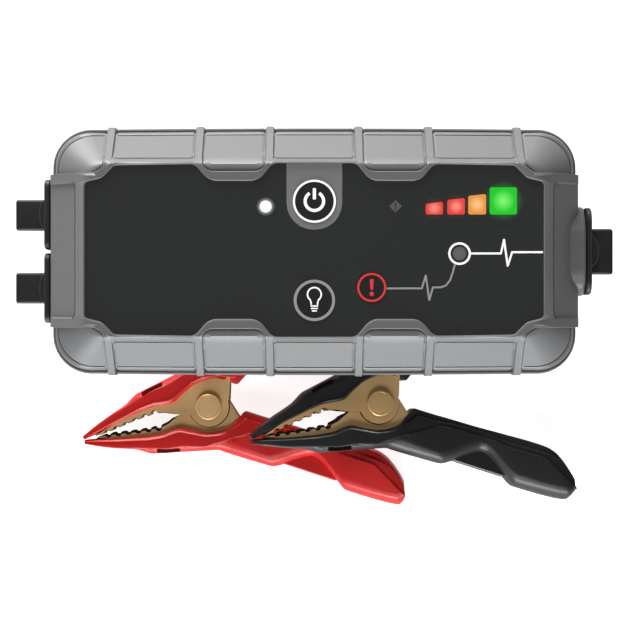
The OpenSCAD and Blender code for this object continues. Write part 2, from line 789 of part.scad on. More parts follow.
plate_out = 4;
plate_gap = 0.1;
grip_spine = [1.2, -1.8];

module arm_grip() {
    difference() {
        union() {
            intersection() {
                linear_extrude(60, center = true) polygon(grip_points);
                thickness(0);
            }
            linear_extrude(2 * ridge_half, center = true) polygon(ridge_points);
        }
        intersection() {
            translate([grip_spine[0], grip_spine[1], -30])
                linear_extrude(60)
                    intersection() {
                        polygon(grip_points);
                        translate([-reach, -reach]) square([reach + tail_l - 1.6, 2 * reach]);
                    }
            thickness(grip_wall);
        }
        translate([8, -14, -hub_half + grip_wall]) rotate(31) cube([42, 14, 2 * (hub_half - grip_wall)]);
        cylinder(r = eye_r, h = 60, center = true, $fn = 2 * curve_fn);
    }
}

// Toothed jaw: two plates joined by a strip under the spine of the grip
tooth_r = 1.15;
tooth_count = 6;
module jaw_outline() {
    difference() {
        union() {
            polygon(rounded([[-38.2 * nose_k, 0.25, 0], [-34.8, 0.5, 2], [-25, 2, 8], [-17.2, 2.6, 2], [-14.3, 2, 2],
                [-10.2, 0.1, 0.3], [-5, -1.5, 0], [0, 0, 0], [6.9, 0.4, 0], [8.4, 5.2, 0.5], [9.4, 7.4, 1], [4, 10.2, 2],
                [-9, 8.6, 3], [-24, 4.9, 4], [-34, 1.8, 2], [-38.2 * nose_k, 0.35, 0]]));
            circle(r = disc_r, $fn = 2 * curve_fn);
        }
        for (i = [0 : tooth_count - 1]) {
            u = i / (tooth_count - 1);
            translate([-34.2 + 16.4 * u, 0.15 + 2.2 * u]) circle(r = tooth_r, $fn = 24);
        }
        circle(r = rivet_r + 0.05, $fn = curve_fn);
    }
}

module jaw(outer) {
    for (side = [-1, 1])
        translate([0, 0, side > 0 ? outer - plate_t : -outer]) linear_extrude(plate_t) jaw_outline();
    linear_extrude(2 * outer, center = true)
        polygon([[-30, 2.4], [-24, 4.4], [-10, 7.9], [-10, 6.9], [-24, 3.5], [-30, 1.9]]);
}

module rivet() {
    head = plate_out + 0.05;
    cylinder(r = rivet_r, h = 2 * head + 0.2, center = true, $fn = curve_fn);
    for (side = [-1, 1])
        translate([0, 0, side > 0 ? head : -head - 0.9]) {
            cylinder(r = rivet_head_r, h = 0.9, $fn = curve_fn);
        }
}

// Torsion spring: two and a bit turns round the rivet, a leg into each handle
spring_r = rivet_r + spring_wire / 2 + 0.35;
spring_pitch = spring_wire + 0.5;
leg_l = 22;
leg_turn = 38;
spring_turns = 2 + (180 - 2 * leg_turn) / 360;
function coil_point(t) =
    let (a = leg_turn + 90 + t * 360, z = spring_pitch * (spring_turns / 2 - t))
    [spring_r * cos(a), spring_r * sin(a), z];
function spring_path() =
    let (n = ceil(spring_turns * 8))
    concat(
        [coil_point(0) + leg_l * [cos(leg_turn), sin(leg_turn), 0]],
        [for (i = [0 : n]) coil_point(spring_turns * i / n)],
        [coil_point(spring_turns) + leg_l * [cos(leg_turn), -sin(leg_turn), 0]]
    );
function self_gap(p) = min([for (i = [1 : len(p) - 6]) for (j = [i + 5 : len(p) - 2]) norm(p[i] - p[j])]) - spring_wire;
spring_sides = 6;
function unit(v) = v / norm(v);
// Rings of points square to the path, swept with one closed skin
function path_dir(p, i) = unit(p[min(i + 1, len(p) - 1)] - p[max(i - 1, 0)]);
function ring_at(p, i, r) =
    let (d = path_dir(p, i), side = unit(cross(d, [0, 0, 1])), up = cross(side, d))
    [for (k = [0 : spring_sides - 1]) p[i] + r * (cos(360 * k / spring_sides) * side + sin(360 * k / spring_sides) * up)];
module spring() {
    p = spring_path();
    n = len(p);
    points = concat([for (i = [0 : n - 1]) each ring_at(p, i, spring_wire / 2)], [p[0], p[n - 1]]);
    skin = [for (i = [0 : n - 2]) for (k = [0 : spring_sides - 1])
        let (a = i * spring_sides + k, b = i * spring_sides + (k + 1) % spring_sides)
        each [[a, b, b + spring_sides], [a, b + spring_sides, a + spring_sides]]];
    caps = [for (k = [0 : spring_sides - 1])
        let (m = (k + 1) % spring_sides, e = (n - 1) * spring_sides)
        each [[m, k, n * spring_sides], [e + k, e + m, n * spring_sides + 1]]];
    polyhedron(points = points, faces = [for (f = concat(skin, caps)) [f[0], f[2], f[1]]], convexity = 10);
}
echo(spring_self_gap = self_gap(spring_path()));

// Height of the line between the handle ends when a leaned clamp just touches the table
grip_end = max([for (p = grip_points) p[0]]);
function rest_height(lean) = max([
    for (p = [[-nose_l, tip_half], [tail_l, end_half], [grip_end, end_half]])
        (p[0] - tail_l) * sin(lean) + p[1] * cos(lean)
]);

// Lays a clamp on the table: leaned about the line between its handle ends, then turned
module laid(at, turn, lean) {
    translate([at[0], at[1], -case_lift - face_z])
        rotate([0, 0, turn])
            translate([tail_l, 0, rest_height(lean)])
                rotate([0, lean, 0])
                    translate([-tail_l, 0, 0])
                        children();
}
module red_laid() { laid(red_at, red_turn, red_lean) children(); }
module black_laid() { laid(black_at, black_turn, black_lean) children(); }
module lower() { mirror([0, 1, 0]) children(); }
lower_plate = plate_out - plate_t - plate_gap;

module red_lower_grip() { color(clamp_red) red_laid() lower() arm_grip(); }
module red_upper_grip() { color(clamp_red) red_laid() arm_grip(); }
module red_lower_jaw() { color(jaw_gold) red_laid() lower() jaw(lower_plate); }
module red_upper_jaw() { color(jaw_gold) red_laid() jaw(plate_out); }
module red_rivet() { color(jaw_gold) red_laid() rivet(); }
module red_spring() { color(steel) red_laid() spring(); }
module black_lower_grip() { color(clamp_black) black_laid() lower() arm_grip(); }
module black_upper_grip() { color(clamp_black) black_laid() arm_grip(); }
module black_lower_jaw() { color(jaw_gold) black_laid() lower() jaw(lower_plate); }
module black_upper_jaw() { color(jaw_gold) black_laid() jaw(plate_out); }
module black_rivet() { color(jaw_gold) black_laid() rivet(); }
module black_spring() { color(steel) black_laid() spring(); }

// The middle of the case sits here, so that the whole footprint is centred on the origin
function laid_y(p, at, turn, lean) = at[1] + sin(turn) * (tail_l + (p[0] - tail_l) * cos(lean)) - cos(turn) * p[1];
low_y = min([for (p = grip_points) min(laid_y(p, red_at, red_turn, red_lean), laid_y(p, black_at, black_turn, black_lean))]);
case_at = [0, -(rib_y + low_y) / 2, case_lift + face_z];
echo(case_at = case_at, red_lean = red_lean);
echo(red_rest = rest_height(red_lean), black_rest = rest_height(black_lean));

module placed() { translate(case_at) children(); }

placed() front_shell();
placed() rear_shell();
placed() case_gasket();
placed() face_panel();
placed() power_inlay();
placed() power_key();
placed() light_key();
placed() override_key();
placed() power_lamp();
placed() color("red") charge_lamp(0);  // charge_lamp_1
placed() color("red") charge_lamp(1);  // charge_lamp_2
placed() color("orange") charge_lamp(2);  // charge_lamp_3
placed() color("lime") charge_lamp(3);  // charge_lamp_4
placed() boost_lamp();
placed() warning_lamp();
placed() usb_plate();
placed() usb_out_socket();
placed() usb_in_socket();
placed() usb_out_cover();
placed() usb_in_cover();
placed() outlet_bezel();
placed() outlet_socket();
placed() outlet_contacts();
placed() outlet_cover();
placed() circuit_board();
placed() board_parts();
placed() key_switches();
placed() board_screws();
placed() battery_tray();
placed() cell(0);  // cell_1
placed() cell(1);  // cell_2
placed() cell(2);  // cell_3
placed() cell_links();
placed() case_screws();
placed() red_lower_grip();
placed() red_lower_jaw();
placed() red_rivet();
placed() red_spring();
placed() red_upper_grip();
placed() red_upper_jaw();
placed() black_lower_grip();
placed() black_lower_jaw();
placed() black_rivet();
placed() black_spring();
placed() black_upper_grip();
placed() black_upper_jaw();
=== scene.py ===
"""Dresses the jump starter pack: moulded shells, printed panel, lit lamps, port covers and toothed clamps.

Each operator makes one group of pieces round the CAD frame. Lengths in the functions are millimetres, with the
case about its middle and each clamp about its rivet, and become metres when a piece is made.
"""
import json
import math

import bmesh
import bpy
import numpy as np
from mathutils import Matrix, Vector


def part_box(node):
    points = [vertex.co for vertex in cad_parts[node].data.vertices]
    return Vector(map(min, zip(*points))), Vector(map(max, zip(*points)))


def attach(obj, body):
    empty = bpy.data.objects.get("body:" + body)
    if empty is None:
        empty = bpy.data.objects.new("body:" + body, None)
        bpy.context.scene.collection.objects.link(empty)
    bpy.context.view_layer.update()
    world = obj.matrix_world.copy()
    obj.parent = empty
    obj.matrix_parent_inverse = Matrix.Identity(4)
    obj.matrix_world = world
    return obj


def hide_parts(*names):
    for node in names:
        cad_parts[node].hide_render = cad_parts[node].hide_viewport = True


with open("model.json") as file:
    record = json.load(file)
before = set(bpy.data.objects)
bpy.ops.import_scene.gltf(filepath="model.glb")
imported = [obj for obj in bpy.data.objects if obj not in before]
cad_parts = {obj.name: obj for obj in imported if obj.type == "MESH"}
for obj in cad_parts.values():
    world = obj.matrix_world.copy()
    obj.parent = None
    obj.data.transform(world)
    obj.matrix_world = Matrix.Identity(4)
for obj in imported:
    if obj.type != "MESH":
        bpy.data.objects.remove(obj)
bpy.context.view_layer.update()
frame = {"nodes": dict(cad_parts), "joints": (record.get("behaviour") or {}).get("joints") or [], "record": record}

bl_info = {
    "name": "Jump Starter Pack",
    "version": (1, 0, 0),
    "blender": (4, 5, 0),
    "location": "3D View > Sidebar > Jump Pack",
    "description": "Builds the visible surfaces and finishes of a jump starter pack with two clamps",
    "category": "Object",
}

MM = 0.001
PANEL_TOP = 20.5      # the panel's face above the case's middle plane
HALF_LENGTH = 81.15   # from the case's middle to its end frames
PRINT_GAP = 0.004     # between a surface and the print on it
INK = 0.03            # thickness of a printed mark
SHARP = 32            # angle in degrees above which an edge is shaded sharp

PANEL_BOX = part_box("face_panel")
CASE_AT = np.array([
    (PANEL_BOX[0][0] + PANEL_BOX[1][0]) / 2,
    (PANEL_BOX[0][1] + PANEL_BOX[1][1]) / 2,
    PANEL_BOX[1][2] - PANEL_TOP * MM,
]) / MM


# ---- Sizes and colours that a user would change ----

def length(name, text, value):
    """A length property in millimetres."""
    return bpy.props.FloatProperty(name=name, description=text + ", mm", default=value, min=0.0)


def tone(name, text, value):
    """A colour property in linear light."""
    return bpy.props.FloatVectorProperty(
        name=name, description=text, default=value, size=3, min=0.0, max=1.0, subtype="COLOR")


class JUMPPACK_PG_case(bpy.types.PropertyGroup):
    """Sizes of the case."""
    half_length: length("Half length", "Middle to the end frames", HALF_LENGTH)
    half_height: length("Half height", "Middle plane to the face", 21.0)
    rib_width: length("Rib width", "Width of each rib", 2.6)


class JUMPPACK_PG_clamp(bpy.types.PropertyGroup):
    """Sizes of the clamps."""
    sleeve_rise: length("Sleeve rise", "Height of the handle sleeve above the arm", 1.0)
    edge_round: length("Edge round", "Radius of the handle's outer edge", 4.6)


class JUMPPACK_PG_finish(bpy.types.PropertyGroup):
    """Colours of the mouldings, prints and metals."""
    frame: tone("Frame", "Grey case moulding", (0.158, 0.158, 0.158))
    panel: tone("Panel", "Charcoal face film", (0.026, 0.0285, 0.0265))
    inlay: tone("Inlay", "Grey patch round the power key", (0.21, 0.21, 0.212))
    rubber: tone("Rubber", "Port covers", (0.0125, 0.0125, 0.013))
    white_ink: tone("White ink", "Printed lines", (0.84, 0.84, 0.84))
    grey_ink: tone("Grey ink", "Printed lines of lesser weight", (0.36, 0.36, 0.36))
    red_ink: tone("Red ink", "Override key", (0.64, 0.035, 0.035))
    clamp_red: tone("Clamp red", "Red grips", (0.58, 0.015, 0.013))
    clamp_black: tone("Clamp black", "Black grips", (0.0175, 0.0175, 0.018))
    jaw: tone("Jaw", "Plated jaws", (0.81, 0.525, 0.232))


# ---- Materials ----

def set_inputs(node, **values):
    """Sets a shader node's inputs by name, with _ for each space in a name."""
    for name, value in values.items():
        node.inputs[name.replace("_", " ")].default_value = value
    return node


def add_node(nodes, kind, **values):
    """Adds a shader node with some of its inputs set."""
    return set_inputs(nodes.new("ShaderNode" + kind), **values)


def material(name, color, roughness=0.5, metallic=0.0, grain=0.0, grain_mm=0.3, mottle=0.0, specular=0.5):
    """A principled finish: noise on object coordinates gives a fine grain as bump and a slight mottle."""
    mat = bpy.data.materials.get(name)
    if mat:
        return mat
    mat = bpy.data.materials.new(name)
    mat.use_nodes = True
    nodes, links = mat.node_tree.nodes, mat.node_tree.links
    shader = set_inputs(
        nodes["Principled BSDF"], Base_Color=(*color, 1), Roughness=roughness, Metallic=metallic,
        Specular_IOR_Level=specular)
    if grain or mottle:
        place = add_node(nodes, "TexCoord")
        noise = add_node(nodes, "TexNoise", Scale=1 / (grain_mm * MM), Detail=3.0)
        links.new(place.outputs["Object"], noise.inputs["Vector"])
    if grain:
        bump = add_node(nodes, "Bump", Strength=grain, Distance=0.05 * MM)
        links.new(noise.outputs["Fac"], bump.inputs["Height"])
        links.new(bump.outputs["Normal"], shader.inputs["Normal"])
    if mottle:
        ramp = add_node(nodes, "MapRange", To_Min=1 - mottle, To_Max=1 + mottle)
        grey, mix = add_node(nodes, "CombineColor"), add_node(nodes, "Mix")
        mix.data_type = "RGBA"
        mix.blend_type = "MULTIPLY"
        set_inputs(mix, Factor=1.0, A=(*color, 1))
        links.new(noise.outputs["Fac"], ramp.inputs["Value"])
        for channel in ("Red", "Green", "Blue"):
            links.new(ramp.outputs["Result"], grey.inputs[channel])
        links.new(grey.outputs["Color"], mix.inputs["B"])
        links.new(mix.outputs["Result"], shader.inputs["Base Color"])
    return mat


def brushed(name, color, along, roughness=0.38, metallic=1.0):
    """A satin metal: noise stretched along one axis of the object's coordinates makes the lines of brushing."""
    mat = bpy.data.materials.get(name)
    if mat:
        return mat
    mat = material(name, color, roughness, metallic)
    nodes, links = mat.node_tree.nodes, mat.node_tree.links
    place = add_node(nodes, "TexCoord")
    stretch = add_node(nodes, "Mapping", Scale=tuple(along))
    noise = add_node(nodes, "TexNoise", Scale=1600, Detail=2.0)
    bump = add_node(nodes, "Bump", Strength=0.12, Distance=0.03 * MM)
    links.new(place.outputs["Object"], stretch.inputs["Vector"])
    links.new(stretch.outputs["Vector"], noise.inputs["Vector"])
    links.new(noise.outputs["Fac"], bump.inputs["Height"])
    links.new(bump.outputs["Normal"], nodes["Principled BSDF"].inputs["Normal"])
    return mat


def lamp_glow(name, edge, core, centre, radius, strength):
    """A lit lens, or a painted glow on the panel round a lamp: its light runs from the core's colour at its centre
    to the edge's colour, by distance on object coordinates."""
    mat = bpy.data.materials.new(name)
    mat.use_nodes = True
    nodes, links = mat.node_tree.nodes, mat.node_tree.links
    shader = set_inputs(
        nodes["Principled BSDF"], Roughness=0.35, Base_Color=(*(c * 0.3 for c in edge), 1),
        Emission_Strength=strength)
    place, shift = add_node(nodes, "TexCoord"), add_node(nodes, "Mapping", Location=tuple(-c for c in centre))
    size, scale, ramp = (add_node(nodes, kind) for kind in ("VectorMath", "Math", "ValToRGB"))
    size.operation = "LENGTH"
    scale.operation = "DIVIDE"
    scale.inputs[1].default_value = radius
    for stop, colour, position in zip(ramp.color_ramp.elements, (core, edge), (0.12, 0.85)):
        stop.color = (*colour, 1)
        stop.position = position
    links.new(place.outputs["Object"], shift.inputs["Vector"])
    links.new(shift.outputs["Vector"], size.inputs[0])
    links.new(size.outputs["Value"], scale.inputs[0])
    links.new(scale.outputs["Value"], ramp.inputs["Fac"])
    links.new(ramp.outputs["Color"], shader.inputs["Emission Color"])
    return mat


# ---- Meshes ----

def join(parts):
    """Parts, each a list of points and a list of faces, as one list of points and one of faces."""
    points, faces, start = [], [], 0
    for p, f in parts:
        p = np.asarray(p, float).reshape(-1, 3)
        points.append(p)
        faces += [[i + start for i in q] for q in f]
        start += len(p)
    return np.concatenate(points), faces


def new_mesh(name, points, faces, weld=True):
    """A mesh in metres with its normals outwards and, where asked, its doubled points welded."""
    mesh = bpy.data.meshes.new(name)
    mesh.from_pydata((points * MM).tolist(), [], faces)
    work = bmesh.new()
    work.from_mesh(mesh)
    if weld:
        bmesh.ops.remove_doubles(work, verts=work.verts, dist=2e-6)
        bmesh.ops.dissolve_degenerate(work, edges=work.edges, dist=1e-6)
    bmesh.ops.recalc_face_normals(work, faces=work.faces)
    work.to_mesh(mesh)
    work.free()
    return mesh


def add_object(name, data):
    """An object in the scene."""
    piece = bpy.data.objects.new(name, data)
    bpy.context.scene.collection.objects.link(piece)
    return piece


def add_piece(name, parts, mat, body, replaces=(), sharp=SHARP, move=None):
    """Joins closed parts into one piece that rides on a body."""
    points, faces = join(parts)
    mesh = new_mesh(name, move(points) if move else points + CASE_AT, faces)
    mesh.shade_smooth()
    mesh.set_sharp_from_angle(angle=math.radians(sharp))
    piece = add_object(name, mesh)
    mesh.materials.append(mat)
    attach(piece, body)
    if replaces:
        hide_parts(*replaces)
    return piece


def unit(v):
    """Vectors brought to length 1 along the last axis."""
    return v / np.maximum(np.linalg.norm(v, axis=-1, keepdims=True), 1e-9)


def length_along(*paths):
    """Length along a path at each of its points; of several paths, each step counts by the longest."""
    steps = [np.linalg.norm(np.diff(p, axis=0), axis=1) for p in paths]
    return np.concatenate([[0], np.cumsum(np.max(steps, axis=0))])


def grid(points, close_u=False, close_v=False, caps=False):
    """Quads over an n by m grid of points, closed along either direction, with flat end faces where asked."""
    n, m = points.shape[:2]
    u = np.arange(n if close_u else n - 1)
    v = np.arange(m if close_v else m - 1)
    a = (u[:, None] * m + v[None]).ravel()
    b = (((u[:, None] + 1) % n) * m + v[None]).ravel()
    c = (((u[:, None] + 1) % n) * m + (v[None] + 1) % m).ravel()
    d = (u[:, None] * m + (v[None] + 1) % m).ravel()
    faces = np.stack([a, b, c, d], 1).tolist()
    if caps:
        faces += [list(range(m)), list(range((n - 1) * m, n * m))]
    return points.reshape(-1, 3), faces


def rounded_outline(points, steps=6):
    """A closed outline of (x, y, radius) points with an arc tangent to both edges at each corner."""
    p = np.array(points, float)
    out = []
    for i in range(len(p)):
        a, b, c, r = p[i - 1, :2], p[i, :2], p[(i + 1) % len(p), :2], p[i, 2]
        if r <= 0:
            out.append(b)
            continue
        u, v = unit(a - b), unit(c - b)
        half = math.acos(np.clip(u @ v, -1, 1)) / 2
        mid = b + unit(u + v) * r / math.sin(half)
        t0 = b + u * r / math.tan(half) - mid
        t1 = b + v * r / math.tan(half) - mid
        a0, a1 = math.atan2(t0[1], t0[0]), math.atan2(t1[1], t1[0])
        turn = (a1 - a0 + math.pi) % (2 * math.pi) - math.pi
        for k in range(steps + 1):
            at = a0 + turn * k / steps
            out.append(mid + r * np.array([math.cos(at), math.sin(at)]))
    return np.array(out)


def inset(outline, d):
    """A closed outline moved inwards by d along the mean normal of its two edges at each point."""
    edge = np.roll(outline, -1, 0) - outline
    n = unit(np.stack([edge[:, 1], -edge[:, 0]], 1))
    mean = n + np.roll(n, 1, 0)
    mean /= np.maximum((mean * mean).sum(1, keepdims=True) / 2, 0.5)
    area = (outline[:, 0] * np.roll(outline[:, 1], -1) - np.roll(outline[:, 0], -1) * outline[:, 1]).sum()
    return outline - mean * d * (1 if area > 0 else -1)


def plate(outline, low, high, bevel=0.0):
    """An outline drawn out from low to high with a chamfer round its upper and lower edges."""
    outline = np.asarray(outline, float)
    levels = [(low, bevel), (low + bevel, 0), (high - bevel, 0), (high, bevel)]
    if not bevel:
        levels = levels[::3]
    rings = [np.column_stack([inset(outline, d) if d else outline, np.full(len(outline), z)]) for z, d in levels]
    return grid(np.array(rings), close_v=True, caps=True)


def circle(x, y, r, n=48, start=0.0, stop=2 * math.pi):
    """Points on an arc of radius r."""
    t = np.linspace(start, stop, n, endpoint=abs(stop - start) < 2 * math.pi - 1e-6)
    return np.column_stack([x + r * np.cos(t), y + r * np.sin(t)])


def stroke(path, width, low, high, closed=False):
    """A printed line: the path's points moved half the width to each side along the mean of their edges'
    normals."""
    p = np.asarray(path, float)
    ahead = np.roll(p, -1, 0) - p
    if not closed:
        ahead[-1] = ahead[-2]
    ahead = unit(ahead)
    behind = np.roll(ahead, 1, 0)
    if not closed:
        behind[0] = ahead[0]
    side = np.stack([-(ahead + behind)[:, 1], (ahead + behind)[:, 0]], 1)
    side /= np.maximum((side * side).sum(1, keepdims=True) / 2, 0.6)
    left, right = p + side * width / 2, p - side * width / 2
    corners = ((left, high), (right, high), (right, low), (left, low))
    ring = np.stack([np.column_stack([edge, np.full(len(p), z)]) for edge, z in corners], 1)
    return grid(ring, close_u=closed, close_v=True, caps=not closed)


def rounded_rectangle(half_a, half_b, r, steps):
    """A rectangle about the origin with rounded corners."""
    return rounded_outline(
        [(-half_a, -half_b, r), (half_a, -half_b, r), (half_a, half_b, r), (-half_a, half_b, r)], steps)


def rounded_box(low, high, r, steps=3):
    """A box with rounded edges: each point of a cube's grid becomes its nearest point of the inner box plus r
    along the way from there to the cube."""
    low, high = np.array(low, float), np.array(high, float)
    r = min(r, *((high - low) / 2 - 1e-4))
    t = np.tan(np.linspace(-1, 1, 2 * steps + 1) * math.pi / 4)
    near = np.concatenate([t[:steps + 1] - 1, t[steps:] + 1])
    a, b = np.meshgrid(near, near, indexing="ij")
    parts = []
    for axis in range(3):
        for side in (-1, 1):
            cube = np.zeros((*a.shape, 3))
            cube[..., axis] = 2 * side
            cube[..., (axis + 1) % 3] = a
            cube[..., (axis + 2) % 3] = b
            core = np.clip(cube, -1, 1)
            parts.append(grid((low + high) / 2 + core * ((high - low) / 2 - r) + unit(cube - core) * r))
    return join(parts)


def turned(profile, centre=(0, 0, 0), n=64):
    """A profile of (radius, height) points turned about the z axis, with its ends closed."""
    r, h = np.array(profile, float).T
    t = np.arange(n) * 2 * math.pi / n
    ring = np.stack([r[:, None] * np.cos(t), r[:, None] * np.sin(t), np.repeat(h[:, None], n, 1)], -1)
    return grid(ring + np.array(centre), close_v=True, caps=True)


def soften(row, passes=1):
    """Each value but the first and last becomes a mean of its neighbours and twice itself, in place."""
    for _ in range(passes):
        row[1:-1] = (row[:-2] + 2 * row[1:-1] + row[2:]) / 4
    return row


def smooth_path(points, n):
    """Pairs of control points, inner and outer, carried to n even steps by the longer of their two ways."""
    p = np.array(points, float)
    at = length_along(p[:, :2], p[:, 2:])
    t = np.linspace(0, at[-1], n)
    return soften(np.column_stack([np.interp(t, at, column) for column in p.T]))


# ---- Case ----

RIBS = (13.6, 35.1, 62.4)  # middles of the ribs along one half of a long side
X_END, Y_END = 63.9, 24.2  # where the columns leave the long side, and reach the end
CORNER_X, CORNER_Y, CORNER_R = 68.9, 25.8, 12  # middle and radius of the corner's arc at the joint line
STEP_X, STEP_Y, STEP_R = 6, 5.6, 6  # how far each has moved or shrunk at the face
FLANK = 12  # width of the flank from the joint line to the face
SIDE, SIDE_STEP = 38.0, 11.8  # half width of the case, and how far inside it the face's edge lies
SIDE_SLOPE, END_SLOPE = 1.25, 0.98  # rise of the flank for each mm inwards
POCKET, END_POCKET = 1.2, 0.95  # depth of the pockets in the long sides and at the ends
FILLET = 1.3  # radius of the corners beside a rib
DEEPEST = 13.4  # how far inwards a pocket can reach
BOW = 0.4  # how far the long sides bow outwards at their middle
FAR = 99.0  # stands for a place that is not on this side


def columns(half_rib):
    """Where the shell's columns stand on one quarter: x values of the long side, fractions round the corner,
    y values of the end. They stand closer at ribs, pocket ends and the panel's notches."""
    xs = list(np.arange(0, X_END, 1.4))
    for c in RIBS:
        for edge in (c - half_rib, c + half_rib):
            xs += [edge - 0.28, edge - 0.1, edge + 0.1, edge + 0.28]
        xs += [c + s * (half_rib + t) for s in (-1, 1) for t in (0.3, 0.55, 0.85, 1.3)]
    xs += [*np.arange(10.6, 20.2, 0.4), *np.arange(28.6, 38.6, 0.4), *np.arange(59.6, X_END, 0.5), X_END]
    ys = [*np.arange(0, Y_END, 1.5), 20.3, 20.5, 20.7, 20.1, 19.8, 19.4, 19.0, 23.2, 23.35, 23.5, 23.65, Y_END]
    xs = np.unique(np.round([x for x in xs if 0 <= x <= X_END], 3))
    ys = np.unique(np.round([y for y in ys if y <= Y_END], 3))
    xs, ys = (v[np.concatenate([[True], np.diff(v) > 0.06])] for v in (xs, ys))
    return xs, np.append(np.linspace(0, 1, 30)[1:-1], (0.982, 0.992)), ys[::-1]


def ring_points(f, xs, ss, ys, bow):
    """One quarter of the case's outline at fraction f of the flank: straight sides, the long one bowed outwards
    by up to bow, and a corner arc whose middle moves inwards with f."""
    cx, cy, r = CORNER_X - STEP_X * f, CORNER_Y - STEP_Y * f, CORNER_R - STEP_R * f
    long_y = np.where(xs <= cx, cy + r, cy + np.sqrt(np.maximum(r * r - (xs - cx) ** 2, 0)))
    long_y += bow * (1 - f) * (1 - (xs / CORNER_X) ** 2)
    end_x = np.where(ys <= cy, cx + r, cx + np.sqrt(np.maximum(r * r - (ys - cy) ** 2, 0)))
    path = []
    a0, a1 = math.pi / 2, 0.0
    if cx > X_END:
        path.append((X_END, cy + r))
    else:
        a0 = math.acos((X_END - cx) / r)
    if cy <= Y_END:
        a1 = math.asin(min((Y_END - cy) / r, 1))
    path += [(cx + r * math.cos(a), cy + r * math.sin(a)) for a in np.linspace(a0, a1, 60)]
    if cy > Y_END:
        path.append((cx + r, Y_END))
    path = np.array(path)
    at = length_along(path)
    corner = np.column_stack([np.interp(ss * at[-1], at, path[:, k]) for k in (0, 1)])
    return np.concatenate([np.column_stack([xs, long_y]), corner, np.column_stack([end_x, ys])])


def share_inside(q):
    """How far inside the case's outline points lie, as the fraction f of ring_points: the root of
    |q - c(f)| = r(f) in the corner, and the straight sides' own share beside it."""
    a, b = q[:, 0] - CORNER_X, q[:, 1] - CORNER_Y
    square = 31.36   # of STEP_Y; the squares of STEP_X and STEP_R cancel
    slope = 2 * STEP_X * a + 2 * STEP_Y * b + 2 * CORNER_R * STEP_R
    rest = a * a + b * b - CORNER_R ** 2
    f = (np.sqrt(np.maximum(slope * slope - 4 * square * rest, 0)) - slope) / (2 * square)
    bow = BOW * (1 - (q[:, 0] / CORNER_X) ** 2)
    f = np.where(b + STEP_Y * f <= 0, (CORNER_X + CORNER_R - q[:, 0]) / FLANK, f)
    return np.where(a + STEP_X * f <= 0, (CORNER_Y + CORNER_R + bow - q[:, 1]) / (11.6 + bow), f)


def from_side(y):
    """How far inside the joint line a point of a long side lies, on the flank's scale."""
    return FLANK * (SIDE - y) / SIDE_STEP


def panel_edge(xs, ss, ys, grow=0.0):
    """The panel's edge below each column of one quarter: by x along its long side, by y along the straight of
    the end, and by share of its length between them."""
    quarter = rounded_outline([
        (0, 0, 0), (69.2, 0, 0), (69.2, 20.5, 1.4), (64.0, 21.7, 4), (60.4, 25.5, 1.8), (36.15, 25.9, 3),
        (31.75, 20.8, 5), (16.95, 20.8, 5), (12.55, 26.2, 3), (0, 26.2, 0),
    ])
    line = inset(quarter, -grow)[1:][::-1]
    line[0, 0] = 0.0
    line[-1, 1] = 0.0
    straight = 18.0
    long_y = np.interp(xs, line[:, 0], line[:, 1])
    at = length_along(line)
    order = np.concatenate([xs, X_END + ss, X_END + 1 + (Y_END - ys)])
    start = np.searchsorted(xs, 60.3)
    begin, stop = np.interp(xs[start - 1], line[:, 0], at), at[-1] - straight
    first, last = order[start - 1], X_END + 1 + (Y_END - straight)
    out = []
    for i, place in enumerate(order):
        j = i - len(xs) - len(ss)
        if i < start:
            out.append((xs[i], long_y[i]))
        elif j >= 0 and ys[j] <= straight:
            out.append((np.interp(at[-1] - ys[j], at, line[:, 0]), ys[j]))
        else:
            a = begin + (stop - begin) * (place - first) / (last - first)
            out.append((np.interp(a, at, line[:, 0]), np.interp(a, at, line[:, 1])))
    return np.array(out)


